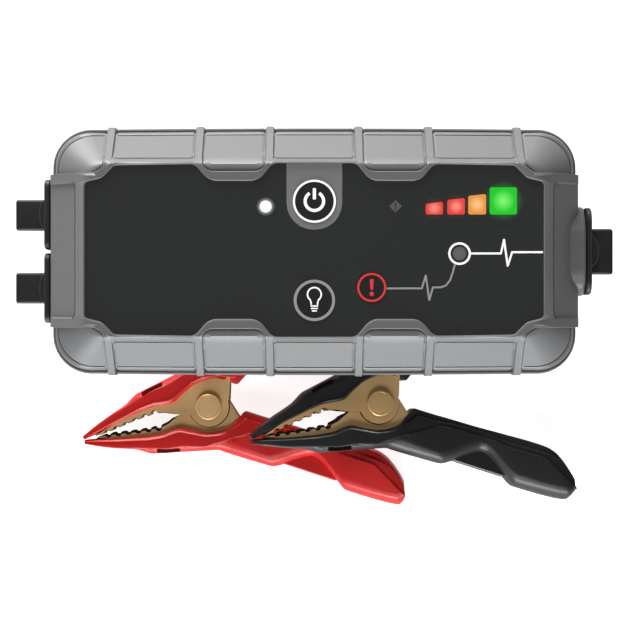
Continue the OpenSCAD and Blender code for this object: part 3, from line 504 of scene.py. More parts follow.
def shell_skin(p, rear=False):
    """One moulded half as a closed skin.

    Each column climbs from the joint line over bead, groove and band, up the flank to the pocket's inner edge,
    over the face to the panel's edge, down the rim and back inside. Ribs stay at the flank's own height and the
    pockets lie lower; a share per column says how much of a pocket a column carries, and walls fall between
    two close columns or rows.
    """
    xs, ss, ys = columns(p.rib_width / 2)
    n_x, n_s = len(xs), len(ss)
    high = p.half_height
    corner = np.concatenate([np.zeros(n_x), ss, np.ones(len(ys))])
    k = SIDE_SLOPE + (END_SLOPE - SIDE_SLOPE) * (corner * corner * (3 - 2 * corner))
    where = np.concatenate([xs, np.full(n_s + len(ys), FAR)])
    y_of = np.concatenate([np.full(n_x + n_s, FAR), ys])
    is_end = y_of < FAR
    wall = np.min([np.abs(where - c) for c in RIBS], axis=0) - p.rib_width / 2
    pocket = np.interp(wall, [-0.28, -0.12, 0.1, 0.32, 0.6], [0, 0.16, 1.22, 1.22, 1])
    pocket[n_x:n_x + n_s] = 1.0
    pocket[n_x + n_s:] = np.interp(ys, [20.45, 20.65, 23.4, 23.5], [1, 0, 0, 1])
    carried = np.minimum(pocket, 1)
    raised = np.where(is_end, np.interp(y_of, [23.4, 23.5], [1, 0]), 0)
    deep = (where > RIBS[0] + 1.2) & (where < RIBS[1] - 1.2)
    reach_in = np.full(len(where), 27.75)
    across = np.abs(where[deep] - (RIBS[0] + RIBS[1]) / 2)
    reach_in[deep] = 27.1 - np.sqrt(np.maximum(3.2 ** 2 - np.maximum(across - 6.3, 0) ** 2, 0))
    beside = ~deep & (wall > 0) & (wall < FILLET)
    reach_in[beside] += FILLET - np.sqrt(FILLET ** 2 - (FILLET - wall[beside]) ** 2)
    edge = panel_edge(xs, ss, ys, 0.35)
    ring = {}
    rows = []

    def plan(d):
        """Points of the quarter at distance d inside the body's outline; d may differ by column."""
        d = np.broadcast_to(np.asarray(d, float), where.shape)
        low = np.floor(d * 2) / 2
        for v in np.unique(np.concatenate([low, low + 0.5])):
            if v not in ring:
                ring[v] = ring_points(v / FLANK, xs, ss, ys, BOW)
        a = np.array([ring[v][i] for i, v in enumerate(low)])
        b = np.array([ring[v][i] for i, v in enumerate(low + 0.5)])
        return a + (b - a) * ((d - low) * 2)[:, None]

    def flank(d):
        """Height of the flank at distance d inside."""
        return high - (FLANK - d) * k

    def roof(at, least):
        """Height of the flank or the face over points that lie at least this far inside."""
        d = np.where(deep, from_side(at[:, 1]), np.maximum(least, FLANK * share_inside(at)))
        return np.minimum(flank(np.minimum(d, FLANK)), high)

    def add(xy, z):
        """One more row of points up the columns."""
        rows.append(np.column_stack([xy, np.broadcast_to(z, where.shape)]))

    side_pocket = [
        (0.05, 0), (0.05, 1.1), (0, 1.6), (-0.2, 1.95), (-0.55, 2.05), (-1.0, 1.75), (-1.2, 1.85), (-1.25, 2.3),
        (-1.28, 4.6), (-1.35, 5.7), (-1.5, 6.35), (-1.8, 6.85), (-2.3, 7.25), (-2.38, 6.9), (-2.5, 6.9),
        (-2.6, 7.7),
    ]
    rib = [(0.36, z) for z in (0, 1.1, 1.6, 1.9, 2.1, 2.3, 2.6, 3.0, 4.4)]
    rib += [(0.34, 5.0), (0.25, 5.45), (0, 5.85), (-0.7, 6.8), (-1.4, 7.7), (-2.0, 8.45), (-2.6, 9.25)]
    e = p.half_length - CORNER_X - CORNER_R
    end = [(e, z) for z in (0, 1.1, 1.6, 1.9, 2.1, 2.6, 3.2, 4.4, 6.4, 7.3)]
    end += [(e - 0.03, 7.9), (e - 0.15, 8.4), (e - 0.35, 9.2), (e - 0.6, 9.5), (-0.8, 10.7), (-1.1, 11.1)]
    lift = 1 + corner * 0.42
    share = np.where(is_end, 1.0, pocket)
    for (po, pz), (ro, rz), (eo, ez) in zip(side_pocket, rib, end):
        z_p = np.where(pz > 2.2, 2.2 + (pz - 2.2) * lift, pz)
        o = ro + (po - ro) * share
        z = rz + (z_p - rz) * share
        if ez > 9:
            z_end = high - (FLANK + eo) * END_SLOPE - pocket * END_POCKET
        else:
            z_end = ez - pocket * END_POCKET * max(ez - 6.4, 0) / 2.0
        o = o + (eo - o) * raised
        z = z + (z_end - z) * raised
        add(plan(np.clip(-o, -2, FLANK)) if o.max() <= 0 else outward(plan(0), o, plan(0.5)), z)
    start = np.where(raised > 0.5, 1.12, 2.62)
    bend = 1.5 - np.sqrt(2.25 - np.clip(y_of - 19.05, 0, 1.5) ** 2)
    top_d = np.where(is_end, np.where(y_of < 20.6, 8.35 - bend, 8.35), from_side(reach_in))
    turn = ((corner > 0) & ~is_end) | (is_end & (y_of > 23.45))
    arc = np.array([X_END + 3.5, Y_END + 2.85])
    for d in np.linspace(3, DEEPEST, 120):
        off = np.maximum(arc - plan(d), 0)
        top_d = np.where(turn & (np.linalg.norm(off, axis=1) < 3.6), d, top_d)
    top_d[turn] = soften(top_d[turn], 2)
    inward = np.clip(top_d, 0, DEEPEST)
    depth = np.where(raised > 0.5, END_POCKET, POCKET) * pocket
    outer, inner = plan(start), plan(inward)
    inner[deep, 1] = reach_in[deep]
    for t in (0, 0.02, 0.06, 0.14, 0.25, 0.37, 0.5, 0.62, 0.73, 0.82, 0.89, 0.935, 0.965, 0.985, 1.0):
        d = start + (inward - start) * t
        at = np.where(deep[:, None], outer + (inner - outer) * t, plan(d))
        d = np.where(deep, from_side(at[:, 1]), d)
        seam = 0.3 * np.interp(t, [0.965, 0.985], [0, 1]) * carried
        slope = flank(np.minimum(d, 13.5)) - depth
        flat = 19.75 + 9 * (1 - carried)
        floor = flat - 0.35 * np.logaddexp(0, (flat - slope) / 0.35) - seam
        if t == 0:
            floor = np.where(raised > 0.5, flank(np.minimum(d, FLANK)) - pocket * END_POCKET, floor)
        add(at, floor)
    toward = edge - inner
    far = np.maximum(np.linalg.norm(toward, axis=1, keepdims=True), 1e-6)
    step = np.minimum(0.16, far[:, 0] * 0.2)
    for reach, notch in ((1, 0.18), (1.9, 0)):
        lip = inner + toward / far * step[:, None] * reach
        add(lip, roof(lip, inward + step * reach) - notch * carried)
    for t in (0.25, 0.5, 0.75, 0.93):
        at = lip + (edge - lip) * t
        add(at, roof(at, inward + (12.2 - inward) * t))
    add(edge, high - 0.04)
    if rear:
        r = 4
        core = np.clip(edge, 0, np.array([53.25, 18.6]) - r)
        away = unit(edge - core)
        for grow, drop in ((0.25, 0), (0, 0.2), (0, 0.6)):
            add(core + away * (r + grow), high - drop)
    else:
        for grow, drop in ((0.12, 0.16), (0.0, 0.45), (0.0, 2.1)):
            add(panel_edge(xs, ss, ys, grow), high - drop)
        for d, z in ((11.2, high - 2.9), (8.5, high - 5.5), (3.6, 7.0), (3.2, 0)):
            add(plan(d), z)
    quarter = np.array(rows).transpose(1, 0, 2)
    loops = []
    for sx, sy, flip in ((1, 1, False), (1, -1, True), (-1, -1, False), (-1, 1, True)):
        part = quarter * np.array([sx, sy, 1.0])
        part = part[::-1] if flip else part
        loops.append(part[1:] if loops else part)
    loops[-1] = loops[-1][:-1]
    loop = np.concatenate(loops)
    if not rear:
        return grid(loop, close_u=True, close_v=True)
    loop[..., 2] *= -1
    points, faces = grid(loop, close_u=True)
    m = loop.shape[1]
    return points, faces + [[i * m + last for i in range(len(loop))] for last in (m - 1, 0)]


def outward(points, o, inner):
    """Points moved outwards by o along the way from the next inner ring."""
    return points + unit(points - inner) * np.asarray(o)[:, None]


def cut(piece, parts):
    """Takes closed parts away from a piece for good."""
    points, faces = join(parts)
    tool = add_object("cutter", new_mesh("cutter", points + CASE_AT, faces, weld=False))
    mod = piece.modifiers.new("cut", "BOOLEAN")
    mod.operation = "DIFFERENCE"
    mod.solver = "EXACT"
    mod.object = tool
    bpy.context.view_layer.update()
    done = bpy.data.meshes.new_from_object(piece.evaluated_get(bpy.context.evaluated_depsgraph_get()))
    piece.modifiers.clear()
    piece.data = done
    done.set_sharp_from_angle(angle=math.radians(SHARP))
    bpy.data.objects.remove(tool)


def box_part(low, high):
    """A plain box."""
    (x0, y0, z0), (x1, y1, z1) = low, high
    return plate([(x0, y0), (x1, y0), (x1, y1), (x0, y1)], z0, z1)


def end_slab(a, b, half_y, half_z, r, y=0.0, steps=16, bevel=0.0):
    """A rounded rectangle of the end face about y, drawn out along x between a and b."""
    points, faces = plate(rounded_rectangle(half_y, half_z, r, steps), min(a, b), max(a, b), bevel)
    return points[:, [2, 0, 1]] + np.array([0, y, 0]), faces


def box_of(node):
    """A node's box in the case's own frame, mm."""
    lo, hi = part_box(node)
    return np.array(lo) / MM - CASE_AT, np.array(hi) / MM - CASE_AT


def print_level(node):
    """The height at which print lies on a node's upper face."""
    return box_of(node)[1][2] + PRINT_GAP


class JUMPPACK_OT_shells(bpy.types.Operator):
    """Front and rear mouldings with ribs, pockets, bead and rim"""
    bl_idname = "jumppack.shells"
    bl_label = "Case shells"

    def execute(self, context):
        p, look = context.scene.jumppack_case, context.scene.jumppack_finish
        grey = material("case_moulding", tuple(look.frame), 0.42, grain=0.25, grain_mm=0.35, mottle=0.05)
        front_end, tail_end = -p.half_length, p.half_length
        ends = [
            box_part((front_end - 3, -22.7, -7.3), (front_end + 12, 22.7, 7.3)),
            end_slab(tail_end - 12, tail_end + 3, 13.8, 11.0, 9.0),
        ]
        rings = []
        for x, half_y, half_z, r in (
            (70.0, 13.75, 10.95, 8.95), (82.3, 13.75, 10.95, 8.95), (82.7, 13.7, 10.9, 8.9),
            (82.98, 13.5, 10.7, 8.7), (83.14, 13.1, 10.3, 8.3), (83.15, 12.4, 9.6, 7.6), (83.15, 10.4, 6.2, 3.4),
            (83.05, 10.1, 5.9, 3.1), (82.8, 10.0, 5.8, 3.0), (76.55, 10.0, 5.8, 3.0), (76.55, 9.0, 4.8, 1.0),
            (70.0, 9.0, 4.8, 1.0),
        ):
            ring = rounded_rectangle(half_y, half_z, r, 16)
            rings.append(np.column_stack([np.full(len(ring), x + p.half_length - HALF_LENGTH), ring]))
        shine = material("bezel_moulding", (0.15, 0.15, 0.152), 0.34, grain=0.15, grain_mm=0.3, mottle=0.04)
        bezel = grid(np.array(rings), close_u=True, close_v=True)
        add_piece("bezel_form", [bezel], shine, "pack", ["outlet_bezel"])
        front = add_piece("front_moulding", [shell_skin(p)], grey, "pack", ["front_shell"])
        cut(front, ends)
        rear = add_piece("rear_moulding", [shell_skin(p, True)], grey, "pack", ["rear_shell"])
        wells = [turned([(2.9, -22), (2.9, -12)], (x, y, 0), n=32) for x in (-60, 60) for y in (-19, 19)]
        cut(rear, ends + wells)
        return {"FINISHED"}


class JUMPPACK_OT_covers(bpy.types.Operator):
    """Rubber covers of the ports, each with flange, plug, pull tab, boss and hinge roll"""
    bl_idname = "jumppack.covers"
    bl_label = "Port covers"

    def execute(self, context):
        p, look = context.scene.jumppack_case, context.scene.jumppack_finish
        rubber = material("moulded_rubber", tuple(look.rubber), 0.45, grain=0.3, grain_mm=0.25, specular=0.4)
        for node, body, side, plug, roll, tab, boss in (
            ("usb_out_cover", "usb_out_lid", -1, (13.5, 7), 2.4, 9.6, None),
            ("usb_in_cover", "usb_in_lid", -1, (11, 6), 2.4, 9.6, None),
            ("outlet_cover", "outlet_lid", 1, (19, 10.6), 4.5, 14.2, (10, 2.4)),
        ):
            lo, hi = box_of(node)
            y = (lo[1] + hi[1]) / 2
            face = -p.half_length if side < 0 else p.half_length + 2.0
            half_w = (hi[1] - lo[1]) / 2
            half_h = hi[2] if side < 0 else 10.0
            tip = lo[0] if side < 0 else hi[0]
            out = face + side * 1.95
            x0, x1 = sorted((out - side * 0.6, tip))
            w, rise = boss or (9.4, 1.8)
            arc = np.linspace(-1, 1, 25)
            bulge = np.column_stack([
                out + side * rise * np.sqrt(np.maximum(1 - arc ** 2, 0)) ** 1.2, y + arc * w / 2])
            bulge = np.concatenate([[[out - side * 0.3, y - w / 2]], bulge, [[out - side * 0.3, y + w / 2]]])
            hinge, hinge_faces = turned([(0.78, -half_w * 0.6), (0.78, half_w * 0.6)], n=20)
            hinge_at = np.array([face + side * 1.05, y, -half_h - 0.5])
            parts = [
                end_slab(face + side * 0.02, out, half_w, half_h, roll, y, 8, 0.45),
                end_slab(face - side * 1.9, face + side * 0.3, plug[0] / 2, plug[1] / 2, 0.8, y, 8, 0.2),
                rounded_box((x0, y - tab / 2, -1.5), (x1, y + tab / 2, 1.5), 0.85),
                plate(bulge, 0.2, half_h - 1.6, 0.35),
                (hinge[:, [0, 2, 1]] + hinge_at, hinge_faces),
            ]
            add_piece(node + "_form", parts, rubber, body, [node], sharp=40)
        return {"FINISHED"}


# ---- Face ----

GRID = 0.3019             # pitch of the grid that the pulse lines are drawn on, its y axis downwards
GRID_AT = (314.4, 251.8)  # the grid's point over the case's middle


def ring_line(x, y, r, width, low, start=0.0, stop=2 * math.pi, n=72):
    """A printed ring or arc with its outer radius r."""
    whole = abs(stop - start) > 2 * math.pi - 1e-6
    return stroke(circle(x, y, r - width / 2, n, start, stop), width, low, low + INK, closed=whole)


def disc(x, y, r, low, n=40):
    """A printed dot."""
    return plate(circle(x, y, r, n), low, low + INK)


def bar(x, y0, y1, w0, w1, r0, r1, low, steps=6, thick=INK):
    """A printed bar with half widths w0 and w1 and corner radii r0 and r1 at its lower and its upper end."""
    corners = [(x - w0, y0, r0), (x + w0, y0, r0), (x + w1, y1, r1), (x - w1, y1, r1)]
    return plate(rounded_outline(corners, steps), low, low + thick)


def pulse_line(path, width, low):
    """Straight strokes along a path on the grid, with a round joint at each bend. Every other stroke is a
    little thicker, so no two upper faces that cross share a plane."""
    p = [((a - GRID_AT[0]) * GRID, (GRID_AT[1] - b) * GRID) for a, b in path]
    runs = [stroke(p[i:i + 2], width, low, low + 0.026 + 0.004 * (i % 2)) for i in range(len(p) - 1)]
    return runs + [plate(circle(*q, width / 2, 14), low, low + 0.033) for q in p[1:-1]]


class JUMPPACK_OT_face(bpy.types.Operator):
    """Printed rings, icons and lines on the panel and on the keys, the print with a painted glow, and discs of
    painted glow round the lamps
    """
    bl_idname = "jumppack.face"
    bl_label = "Face graphics"

    def execute(self, context):
        look = context.scene.jumppack_finish
        white = material("white_print", tuple(look.white_ink), 0.5)
        grey = material("grey_print", tuple(look.grey_ink), 0.55)
        red = material("red_print", tuple(look.red_ink), 0.5)
        # Painted glow: emission that keeps the white and the red print bright whatever the light.
        for ink, colour, strength in ((white, (1, 1, 1, 1), 0.42), (red, (1, 0.04, 0.04, 1), 0.16)):
            set_inputs(ink.node_tree.nodes["Principled BSDF"], Emission_Color=colour, Emission_Strength=strength)
        top = print_level("face_panel")

        x, y, low, gap = 0, 14.7, print_level("power_key"), math.radians(31)
        add_piece("power_mark", [
            ring_line(x, y, 6.52, 0.66, low),
            ring_line(x, y, 3.25, 0.92, low, math.pi / 2 + gap, math.pi / 2 + 2 * math.pi - gap, 48),
            bar(x, y + 0.55, y + 3.95, 0.48, 0.48, 0.2, 0.2, low),
        ], white, "power_button")

        x, y, low = 0, -15.2, print_level("light_key")
        add_piece("light_ring", [ring_line(x, y, 6.25, 0.88, low)], grey, "light_button")
        bulb = [ring_line(x, y + 1.8, 2.3, 0.46, low, math.radians(-52), math.radians(232), 36)]
        for side in (-1, 1):
            neck = [(side * 1.28, y + 0.25), (side * 0.98, y - 0.75), (side * 0.95, y - 1.35)]
            bulb.append(stroke(neck, 0.44, low, low + INK))
        for w, h in ((1.15, 1.7), (1.05, 2.45), (0.75, 3.2)):
            bulb.append(stroke([(-w, y - h), (w, y - h)], 0.4, low, low + INK))
        add_piece("bulb_mark", bulb, white, "light_button")

        x, y, low = 17.3, -11.3, print_level("override_key")
        add_piece("override_mark", [
            ring_line(x, y, 4.4, 0.66, low), disc(x, y - 1.95, 0.68, low),
            bar(x, y - 0.75, y + 2.5, 0.42, 0.62, 0.2, 0.25, low),
        ], red, "override_button")

        boost = [(470.8, 255.3), (500.8, 255.3), (503.9, 241.6), (507.6, 267.6), (512, 254), (542.7, 254)]
        add_piece("boost_mark", [
            ring_line(43.8, -1.1, 3.41, 0.66, top), *pulse_line(boost, 0.6, top),
        ], white, "pack")

        # Painted glow: an emissive disc on the panel round each lamp, its light falling from the tint at the
        # middle to black at the rim.
        for lift, (node, reach, tint) in enumerate((
            ("power_lamp", 3.3, (0.55, 0.56, 0.6)),
            ("charge_lamp_1", 4.2, (0.07, 0.005, 0.005)), ("charge_lamp_2", 4.6, (0.08, 0.005, 0.005)),
            ("charge_lamp_3", 4.8, (0.035, 0.012, 0.002)), ("charge_lamp_4", 7.2, (0.004, 0.2, 0.006)),
        )):
            lo, hi = box_of(node)
            x, y = (lo[0] + hi[0]) / 2, (lo[1] + hi[1]) / 2
            middle = (np.array([x, y, top]) + CASE_AT) * MM
            shine = lamp_glow(node + "_shine", (0, 0, 0), tint, tuple(middle), reach * MM, 1.0)
            set_inputs(
                shine.node_tree.nodes["Principled BSDF"], Base_Color=(*look.panel, 1), Roughness=0.42,
                Specular_IOR_Level=0.28)
            halo = plate(circle(x, y, reach, 64), top, top + 0.012 + 0.007 * lift)
            add_piece(node + "_halo", [halo], shine, "pack")

        pulse = [
            (386.5, 290.2), (421.8, 290.2), (425.7, 277.3), (429.2, 301.8), (432.9, 289.2), (440.6, 289.2),
            (446, 287.2), (450, 282), (452.6, 274.5), (454.9, 266),
        ]
        add_piece("pulse_mark", pulse_line(pulse, 0.55, top), grey, "pack")
        low = print_level("warning_lamp")
        add_piece("warning_mark", [
            disc(24.5, 12.25, 0.27, low, 16),
            bar(24.5, 12.75, 14.2, 0.2, 0.25, 0.05, 0.1, low, 3, 0.02),
        ], material("panel_film_dark", (0.03, 0.03, 0.03), 0.5), "pack")
        return {"FINISHED"}


def dress(mat, *names):
    """Gives CAD nodes' objects one finish in all their slots."""
    for name in names:
        piece = frame["nodes"][name]
        if not piece.material_slots:
            piece.data.materials.append(mat)
        for place in piece.material_slots:
            place.material = mat


class JUMPPACK_OT_finishes(bpy.types.Operator):
    """Finishes of the pieces that keep their CAD form: panel, keys, lamps, ports, board, cells and jaws"""
    bl_idname = "jumppack.finishes"
    bl_label = "Finishes"

    def execute(self, context):
        look = context.scene.jumppack_finish
        cap = [c * 0.62 for c in look.panel]
        for names, name, colour, roughness, more in (
            (["face_panel"], "panel_film", look.panel, 0.42,
             {"grain": 0.18, "grain_mm": 0.22, "mottle": 0.04, "specular": 0.28}),
            (["power_key", "light_key", "override_key"], "key_cap", cap, 0.36,
             {"grain": 0.12, "grain_mm": 0.2, "specular": 0.35}),
            (["power_inlay"], "inlay_film", look.inlay, 0.45, {"grain": 0.2, "grain_mm": 0.2, "mottle": 0.03}),
            (["usb_plate", "outlet_socket", "key_switches"], "port_moulding", (0.012, 0.012, 0.013), 0.45,
             {"grain": 0.2, "grain_mm": 0.2}),
            (["circuit_board"], "board_laminate", (0.02, 0.11, 0.05), 0.45,
             {"grain": 0.2, "grain_mm": 0.5, "mottle": 0.2}),
            (["board_parts"], "chip_case", (0.02, 0.02, 0.022), 0.5, {"grain": 0.3, "grain_mm": 0.15}),
            (["cell_1", "cell_2", "cell_3"], "foil_wrap", (0.5, 0.52, 0.55), 0.3,
             {"metallic": 0.6, "grain": 0.35, "grain_mm": 2.5, "mottle": 0.08}),
            (["case_gasket"], "seal_rubber", (0.02, 0.02, 0.02), 0.6, {"grain": 0.3, "grain_mm": 0.4}),
            (["battery_tray"], "tray_moulding", (0.05, 0.05, 0.052), 0.5, {"grain": 0.25, "grain_mm": 0.4}),
        ):
            dress(material(name, tuple(colour), roughness, **more), *names)
        jaws = [f"{name}_{side}_jaw" for name in ("red", "black") for side in ("lower", "upper")]
        for names, name, colour, along, roughness, metallic in (
            (["usb_out_socket", "usb_in_socket"], "port_steel", (0.55, 0.56, 0.58), (1, 0.1, 1), 0.3, 1.0),
            (["outlet_contacts"], "contact_plate", (0.72, 0.5, 0.2), (0.1, 1, 1), 0.28, 1.0),
            (["cell_links"], "nickel_strip", (0.62, 0.6, 0.55), (1, 0.15, 1), 0.25, 1.0),
            (["case_screws", "board_screws"], "screw_plate", (0.4, 0.4, 0.42), (1, 1, 0.2), 0.3, 1.0),
            (jaws, "jaw_plate", look.jaw, (0.25, 1, 1), 0.45, 0.3),
        ):
            dress(brushed(name, tuple(colour), along, roughness, metallic), *names)
        red = ((0.72, 0.05, 0.04), (0.9, 0.3, 0.24), 0.9)
        for node, edge, core, strength in (
            ("power_lamp", (0.75, 0.78, 0.85), (1, 1, 1), 1.2),
            ("boost_lamp", (0.2, 0.2, 0.2), (0.25, 0.25, 0.25), 0.3),
            ("warning_lamp", (0.12, 0.12, 0.12), (0.13, 0.13, 0.13), 0.5),
            ("charge_lamp_1", *red), ("charge_lamp_2", *red),
            ("charge_lamp_3", (0.72, 0.27, 0.05), (0.95, 0.55, 0.25), 0.9),
            ("charge_lamp_4", (0.01, 0.5, 0.02), (0.2, 0.85, 0.16), 0.95),
        ):
            lo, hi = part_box(node)
            centre = [(a + b) / 2 for a, b in zip(lo, hi)]
            centre[2] = hi[2]
            reach = max(hi[0] - lo[0], hi[1] - lo[1]) / 2
            dress(lamp_glow(node + "_light", edge, core, centre, reach, strength), node)
        return {"FINISHED"}


# ---- Clamps ----

# The upper grip about the rivet, from nose to handle end: inner x and y, outer x and y.
UPPER_ARM = (
    (-42.3, 0.1, -42.6, 1.3), (-38, 0.8, -38.3, 3.3), (-31, 2.5, -32.2, 5.7), (-26, 3.4, -26.5, 7.6),
    (-22, 4.2, -22.5, 10.1), (-17, 4.7, -17.6, 11.1), (-12, 4.1, -12.7, 12.1), (-10.2, 4.3, -10.4, 12.6),
    (-7.6, 5.9, -8, 13.1), (-3.3, 8.0, -4.6, 13.8), (0.8, 8.7, -0.8, 14.6), (4.4, 8.6, 0.8, 15.8),
    (8.2, 6.2, 6.2, 19.2), (10.6, 4.5, 10.4, 21.8), (12.6, 5.8, 14.9, 24.5), (16, 8.0, 18.6, 24.6),
    (20, 10.4, 22.4, 24.2), (24, 12.9, 26.6, 24.2), (27.2, 14.9, 28.4, 24.5), (29.5, 16.3, 29.9, 25.7),
    (32, 17.8, 31.5, 28.8), (35, 19.6, 33.9, 34.3), (38.5, 21.7, 35.4, 37.7), (42, 23.8, 39, 40),
    (46, 26.3, 44.5, 43.4), (49.5, 28.8, 48.4, 45.6), (51.5, 31.2, 51.4, 47.0), (53.1, 34.6, 53.0, 46.1),
    (54.3, 38.2, 54.1, 44.8), (54.7, 40.4, 54.1, 43.6),
)
# The step between the flat and the rounded outer side, and the inner rim's line.
CREASE = (
    (-42.2, 1.2), (-32.5, 4.9), (-27.4, 6.3), (-19.3, 8.6), (-17, 9.3), (-10.9, 10.1), (-4.5, 12.0), (-1.6, 11.8),
    (6, 11.6), (14.9, 11.8), (17.1, 12.0), (18.7, 12.8), (31.4, 20.6), (45.5, 29.6), (47.2, 31.1), (48.5, 33.7),
    (53.9, 43.4),
)
RIM = (
    (-42.1, 0.6), (-31, 3.3), (-22, 5.1), (-17, 5.6), (-12, 4.9), (-8, 6.6), (-3.3, 8.9), (0.8, 9.6), (4.4, 9.5),
    (7.2, 7.0), (9.2, 5.2), (10.6, 5.9), (22.3, 12.7), (47.7, 28.8), (50.2, 30.5), (51.8, 33.4), (54.5, 39.5),
    (54.5, 41.1),
)
JAW_FACE = {"upper": 4.0, "lower": 2.9}       # outer face of a jaw's plates, from the clamp's middle plane
TOOTH_SHADE_REACH = {"upper": 0.25, "lower": 0.75}  # how far the painted shade under a jaw's teeth shows in the mouth
MOUTH = (-38.2, -10.3)                        # x of the mouth's two ends
BITE = 1.15                                   # radius of the round bites


def share_of(inner, outer, line):
    """How far along each inner-to-outer way a line crosses it, 0 to 1; the least miss counts where it
    doesn't cross."""
    line = np.array(line)
    a, b = line[:-1], line[1:]
    way, seg = outer - inner, b - a
    den = way[:, None, 0] * seg[None, :, 1] - way[:, None, 1] * seg[None, :, 0]
    den = np.where(np.abs(den) < 1e-9, 1e-9, den)
    rel = a[None] - inner[:, None]
    u = (rel[..., 0] * seg[None, :, 1] - rel[..., 1] * seg[None, :, 0]) / den
    t = (rel[..., 0] * way[:, None, 1] - rel[..., 1] * way[:, None, 0]) / den
    miss = np.maximum(np.maximum(-t, t - 1), 0) + np.maximum(np.maximum(-u, u - 1), 0)
    best = np.argmin(miss, axis=1)
    return np.clip(u[np.arange(len(u)), best], 0, 1)


def grip_form(p, n=150):
    """A moulded grip as a loft from nose to handle end.

    Each section runs from the inner edge over a rim, a flat, a step at the sleeve's line and a rounded outer edge
    down to the middle plane, and is mirrored below it. The lines of rim and sleeve are found where they cross
    the section.
    """
    path = smooth_path(UPPER_ARM, n)
    inner, outer = path[:, :2], path[:, 2:]
    w = np.linalg.norm(outer - inner, axis=1)
    rim, crease = (soften(share_of(inner, outer, line) * w, 3) for line in (RIM, CREASE))
    mid = (inner[:, 0] + outer[:, 0]) / 2
    handle = np.interp(mid, [0, 9], [0, 1])
    handle = handle * handle * (3 - 2 * handle)
    high = np.interp(mid, [-42, -36, -12, 30, 40, 51], [3.2, 4.6, 5.8, 5.9, 7.4, 8.7])
    rim = np.clip(rim, 0.12 * w, 0.4 * w)
    crease = np.clip(crease, rim + 0.12 * w, 0.82 * w)
    round_w = np.where(handle > 0.5, np.minimum(p.edge_round, (w - crease) * 0.8), (w - crease) * 0.92)
    round_w = np.convolve(np.pad(round_w, 4, mode="edge"), np.ones(9) / 9, "valid")
    rise = p.sleeve_rise
    nose = 1 - handle
    sections = [(0 * w, 0 * w)]
    for e, nose_drop, handle_drop in (
        (0 * w, 1.5, 2.6), (np.minimum(0.2, 0.05 * w), 0.9, 2.3), (rim * 0.45, 0.3, 2.1), (rim * 0.85, 0.02, 2.1),
        (rim, 0.14, 2.05), (rim + 0.04 * w, 0.34, rise + 0.1), ((rim + crease) / 2, 0.3, rise),
        (crease - 0.03 * w, 0.3, rise), (crease, 0.3, rise * 0.9), (crease + 0.2, 0.34, rise * 0.35),
        (crease + 0.5, 0.6, 0),
    ):
        sections.append((np.minimum(e / w, 0.97), high - nose * nose_drop - handle * handle_drop))
    last = sections[-1][1]
    for a in np.linspace(0, math.pi / 2, 11):
        e = (w - round_w) / w + round_w / w * math.sin(a)
        e = np.maximum(e, sections[-1][0] + 1e-4) if a < 1.5 else np.ones(n)
        sections.append((e, last * math.cos(a) ** np.where(handle > 0.5, 0.9, 1.0)))
    top = np.array([np.column_stack([inner + (outer - inner) * u[:, None], z]) for u, z in sections])
    top = top.transpose(1, 0, 2)
    under = top[:, -2:0:-1] * np.array([1, 1, -1.0])
    return grid(np.concatenate([top, under], axis=1), close_v=True, caps=True)


def painted_tooth_shade(reach):
    """Painted shade under a jaw's toothed edge: a dark sheet for the shadowed lower plate, the edge with its round
    bites, moved out into the mouth by reach, less towards both ends of the mouth."""
    first, last = MOUTH
    x = np.linspace(first, last, 260)
    edge = np.interp(x, [-38.2, -34.8, -25, -17.2, -14.3, -10.2], [0.25, 0.5, 2.0, 2.6, 2.0, 0.1])
    bitten = edge.copy()
    for u in np.arange(6) / 5:
        arc = BITE ** 2 - (x + 34.2 - 16.4 * u) ** 2
        bite = 0.15 + 2.2 * u + np.sqrt(np.maximum(arc, 0))
        bitten = np.where(arc > 0, np.maximum(bitten, bite), bitten)
    out = reach * np.minimum(np.clip((x - first) / 4, 0, 1), np.clip((last - x) / 2.5, 0, 1))
    back = np.maximum(np.minimum(edge, bitten) + 0.9 * np.clip((x - first) / 4, 0.1, 1) + 0.4, bitten + 0.1)
    return np.concatenate([np.column_stack([x, bitten - out]), np.column_stack([x, back])[::-1]])


def rivet_shadow_ring(z):
    """Painted shadow: a thin dark ring about the rivet in the gap between the upper and the lower jaw's plates."""
    rings = []
    for r, dz in ((5.0, -0.03), (6.8, -0.03), (6.8, 0.03), (5.0, 0.03)):
        ring = circle(0, 0, r, 72)
        rings.append(np.column_stack([ring, np.full(len(ring), z + dz)]))
    return grid(np.array(rings), close_u=True, close_v=True)


def wire(path, r, sides=12):
    """A round wire along a path: rings of radius r square to the path's mean direction at each point."""
    p = np.asarray(path, float)
    ahead = unit(np.gradient(p, axis=0))
    side = unit(np.cross(ahead, [0, 0, 1]))
    up = np.cross(side, ahead)
    t = (np.arange(sides) * 2 * math.pi / sides)[None, :, None]
    return grid(p[:, None] + r * (np.cos(t) * side[:, None] + np.sin(t) * up[:, None]), close_v=True, caps=True)


def spring_wires():
    """The torsion spring as two wires: its coil with the lower leg, and the upper leg that goes with the arm.

    The coil runs at angle 128 + 360 t degrees and at height 1.3 (turns / 2 - t), and each leg leaves it along
    its tangent.
    """
    turns, radius, lean, wire_r = 2 + 104 / 360, 3.25, math.radians(38), 0.4
    t = np.linspace(0, turns, 90)
    a = math.radians(128) + 2 * math.pi * t
    coil = np.column_stack([radius * np.cos(a), radius * np.sin(a), 1.3 * (turns / 2 - t)])
    out = np.linspace(0, 22, 12)[:, None]
    lower = coil[-1] + out[1:] * np.array([math.cos(lean), -math.sin(lean), 0])
    upper = coil[0] + out * np.array([math.cos(lean), math.sin(lean), 0])
    return wire(np.concatenate([coil, lower]), wire_r), wire(upper, wire_r)


